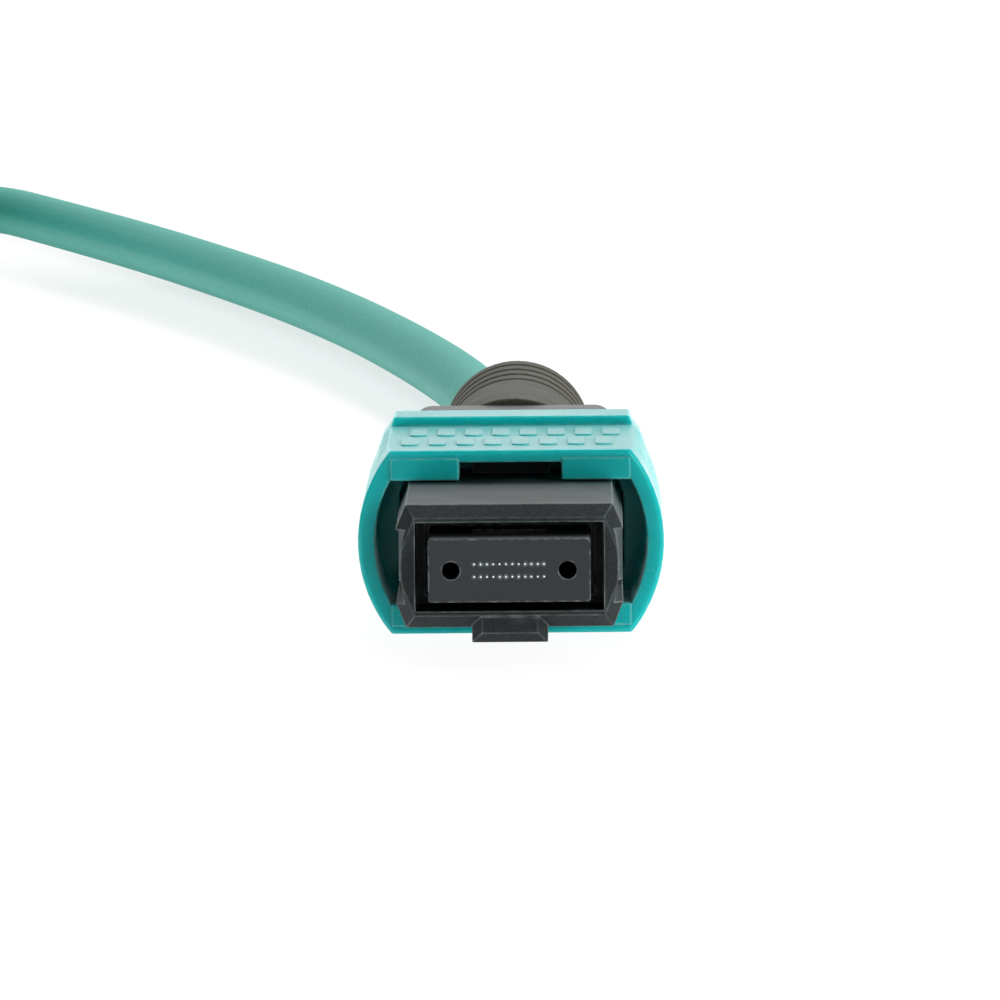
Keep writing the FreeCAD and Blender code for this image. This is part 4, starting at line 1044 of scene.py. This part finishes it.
def yarn_tree():
    tree, given = new_tree("folded_yarn", YARN_SIZES)
    ring = add_node(
        tree, "GeometryNodeMeshCircle", {"Vertices": given["Strands"], "Radius": given["Radius"]}
    )
    end = add_node(tree, "ShaderNodeCombineXYZ", {"Z": given["Length"]})
    line = add_node(tree, "GeometryNodeCurvePrimitiveLine", {"End": end})
    spaced = add_node(tree, "GeometryNodeResampleCurve", {"Curve": line, "Count": 14})
    row = add_node(tree, "GeometryNodeInstanceOnPoints", {"Points": ring, "Instance": spaced})
    loose = add_node(tree, "GeometryNodeRealizeInstances", {"Geometry": row})
    noise = add_node(
        tree, "ShaderNodeTexNoise", {"W": given["Seed"], "Scale": per_mm(1.2), "Detail": 1.0}, "Color",
        noise_dimensions="4D",
    )
    shift = add_node(tree, "ShaderNodeVectorMath", [noise, (0.5, 0.5, 0.5)], operation="SUBTRACT")
    sway = add_node(tree, "ShaderNodeVectorMath", {0: shift, "Scale": given["Wave"]}, operation="SCALE")
    waved = add_node(tree, "GeometryNodeSetPosition", {"Geometry": loose, "Offset": sway})
    profile = add_node(
        tree, "GeometryNodeCurvePrimitiveCircle",
        {"Radius": ("MULTIPLY", given["Strand Thickness"], 0.5), "Resolution": 6},
    )
    swept = add_node(
        tree, "GeometryNodeCurveToMesh", {"Curve": waved, "Profile Curve": profile, "Fill Caps": True}
    )
    back = add_node(tree, "ShaderNodeCombineXYZ", {"Y": given["Front"]})
    lying = add_node(
        tree, "GeometryNodeTransform",
        {"Geometry": swept, "Translation": back, "Rotation": (-math.pi / 2, 0.0, 0.0)},
    )
    return closed_tree(tree, lying, ARAMID_YARN)


yarn = add_piece(
    "folded_yarn", grown_mesh("folded_yarn", yarn_tree(), YARN_SIZES), ARAMID_YARN,
    "connector", "aramid_yarn",
)
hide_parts("strength_yarn")

# %% [markdown]
# The cord's other end carries the same connector. Its pieces are the near ones' finished meshes,
# moved to the far connector's place. The far sleeve's and ferrule's pieces ride on their own far
# bodies, and the others on the connector.

# %% Far connector
FAR_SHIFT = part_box("far_inner_housing")[0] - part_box("inner_housing")[0]
FAR_TWINS = (
    (housing, "far_plug_housing", "connector", ("far_inner_housing",)),
    (sleeve, "far_grip_sleeve", "far_coupling", ("far_coupling_sleeve",)),
    (bars, "far_grip_bars", "far_coupling", ()),
    (rails, "far_rail_ends", "far_coupling", ()),
    (block, "far_ferrule_block", "far_ferrule_group", ("far_ferrule",)),
    (fibres, "far_fibre_ends", "far_ferrule_group", ()),
    (push_body, "far_crimp_push_body", "connector", ("far_crimp_body",)),
    (boot, "far_ringed_boot", "connector", ("far_strain_relief_boot",)),
)


def twin(piece, name, body, nodes):
    mesh = piece.data.copy()
    mesh.transform(Matrix.Translation(FAR_SHIFT))
    other = add_piece(name, mesh, piece.data.materials[0], body, piece["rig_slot"])
    for edges in piece.modifiers:
        round_edges(other, edges.width / MM, edges.segments, edges.limit_method)
    if nodes:
        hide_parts(*nodes)
    return other


far_pieces = [twin(*row) for row in FAR_TWINS]
print("far connector moved by", [round(v / MM, 1) for v in FAR_SHIFT], "mm")

# %% [markdown]
# The cord gets its jacket material, rides on the connector's body and takes its finish slot, and the
# construction model's cord pieces are hidden.

# %% Cable's finish
cable.data.materials.append(JACKET)
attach(cable, "connector")
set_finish(cable, "cable_jacket")
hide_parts("cable_lead", "cable_coil", "far_cable_tail")

# %% [markdown]
# The stage is a white table. What the camera sees of it is plain white, a small part of the real
# matt surface, which keeps the object's faint shadow, and behind the connector a faint clear mirror
# that fades out again around it. All other light meets the matt surface, which also glows softly,
# as a table in a bright room lights what stands on it from below.

# %% Table and background
TABLE_SIZE = 6.0
FLOOR_LEVEL = CAD_BOX[0].z
TABLE_COLOUR = (0.8, 0.8, 0.8, 1.0)
WHITE = (1.0, 1.0, 1.0, 1.0)
TABLE_WHITE = 0.95
SHADOW_PART = 0.13
TABLE_GLOW = 0.6
# How much of a mirror the table is, the depths where that begins and is full, and the middle and
# the two distances between which it fades out again.
MIRROR_PART = 0.25
MIRROR_DEPTHS = (62.0, 110.0)
MIRROR_MIDDLE = (-15.0, 130.0, 0.0)
MIRROR_FADE = (80.0, 120.0)
MIRROR_ROUGHNESS = 0.08


def table_paint():
    material, tree, place = new_material("white_table")
    matt = add_node(tree, "ShaderNodeBsdfDiffuse", {"Color": TABLE_COLOUR})
    white = add_node(tree, "ShaderNodeEmission", {"Strength": TABLE_WHITE})
    faint = add_node(tree, "ShaderNodeMixShader", {"Fac": SHADOW_PART, 2: matt})
    shown = add_node(tree, "ShaderNodeAddShader", [faint, white])
    depth = add_node(tree, "ShaderNodeSeparateXYZ", {"Vector": place}, "Y")
    behind = add_node(
        tree, "ShaderNodeMapRange",
        [depth, MIRROR_DEPTHS[0] * MM, MIRROR_DEPTHS[1] * MM, 0.0, MIRROR_PART],
    )
    away = add_node(
        tree, "ShaderNodeVectorMath", [place, Vector(MIRROR_MIDDLE) * MM], "Value", operation="DISTANCE"
    )
    around = add_node(
        tree, "ShaderNodeMapRange", [away, MIRROR_FADE[0] * MM, MIRROR_FADE[1] * MM, 1.0, 0.0]
    )
    mirror = add_node(
        tree, "ShaderNodeBsdfAnisotropic", {"Color": WHITE, "Roughness": MIRROR_ROUGHNESS}
    )
    polished = add_node(tree, "ShaderNodeMixShader", [("MULTIPLY", behind, around), shown, mirror])
    glow = add_node(tree, "ShaderNodeEmission", {"Strength": TABLE_GLOW})
    lit = add_node(tree, "ShaderNodeAddShader", [matt, glow])
    ray = add_node(tree, "ShaderNodeLightPath")
    chosen = add_node(tree, "ShaderNodeMixShader", [ray, lit, polished])
    add_node(tree, "ShaderNodeOutputMaterial", {"Surface": chosen})
    return material


table_mesh = bpy.data.meshes.new("table")
half = TABLE_SIZE / 2
corners = [(-half, -half), (half, -half), (half, half), (-half, half)]
table_mesh.from_pydata([(x, y, FLOOR_LEVEL) for x, y in corners], [], [(0, 1, 2, 3)])
table_mesh.materials.append(table_paint())
table_top = bpy.data.objects.new("table_top", table_mesh)
SCENE.collection.objects.link(table_top)

# %% [markdown]
# Light comes from a pale room, which is dim in front and bright behind, and plain white where the
# camera sees past the table. A large soft lamp hangs above and behind. A smaller one in front on the
# right leaves the left side of each edge a shade darker, and a weak one straight ahead lights what
# faces the front.

# %% World and lamps
FRONT_LIGHT = 0.2
BACKDROP_LIGHT = 1.0
BRIGHT_SIDE = (0.3, 0.95, 0.0)
ROOM_TURN = (-0.3, 0.5)
CONNECTOR_MIDDLE = Vector((0.0, 0.02, 0.0))


def pale_room():
    world = bpy.data.worlds.new("pale_room")
    SCENE.world = world
    world.use_nodes = True
    tree = world.node_tree
    tree.nodes.clear()
    direction = add_node(tree, "ShaderNodeTexCoord", output="Generated")
    backward = add_node(
        tree, "ShaderNodeVectorMath", [direction, BRIGHT_SIDE], "Value", operation="DOT_PRODUCT"
    )
    room = add_node(
        tree, "ShaderNodeMapRange", [backward, ROOM_TURN[0], ROOM_TURN[1], FRONT_LIGHT, BACKDROP_LIGHT]
    )
    ray = add_node(tree, "ShaderNodeLightPath")
    shade = add_node(tree, "ShaderNodeBackground", {"Strength": ("MAXIMUM", room, ray), "Color": WHITE})
    add_node(tree, "ShaderNodeOutputWorld", {"Surface": shade})


pale_room()


def soft_lamp(name, place, width, share):
    """A square lamp that gives this share of full light on a surface that faces it at the connector."""
    lamp = bpy.data.lights.new(name, "AREA")
    lamp.shape = "SQUARE"
    lamp.size = width
    away = Vector(place) - CONNECTOR_MIDDLE
    lamp.energy = share * math.pi ** 2 * away.length_squared
    holder = bpy.data.objects.new(name, lamp)
    holder.location = place
    holder.rotation_euler = away.to_track_quat("Z", "Y").to_euler()
    SCENE.collection.objects.link(holder)
    print(f"{name}: {lamp.energy:.1f} W at {away.length:.2f} m")


soft_lamp("overhead_lamp", (0.05, 0.42, 0.6), width=0.5, share=0.6)
soft_lamp("front_right_lamp", (0.45, -0.4, 0.3), width=0.25, share=0.5)
soft_lamp("front_lamp", (0.12, -0.9, 0.06), width=0.4, share=0.06)

# %% [markdown]
# Colours are shown as they are written, with no film look on top.

# %% Finish
SCENE.view_settings.view_transform = "Standard"
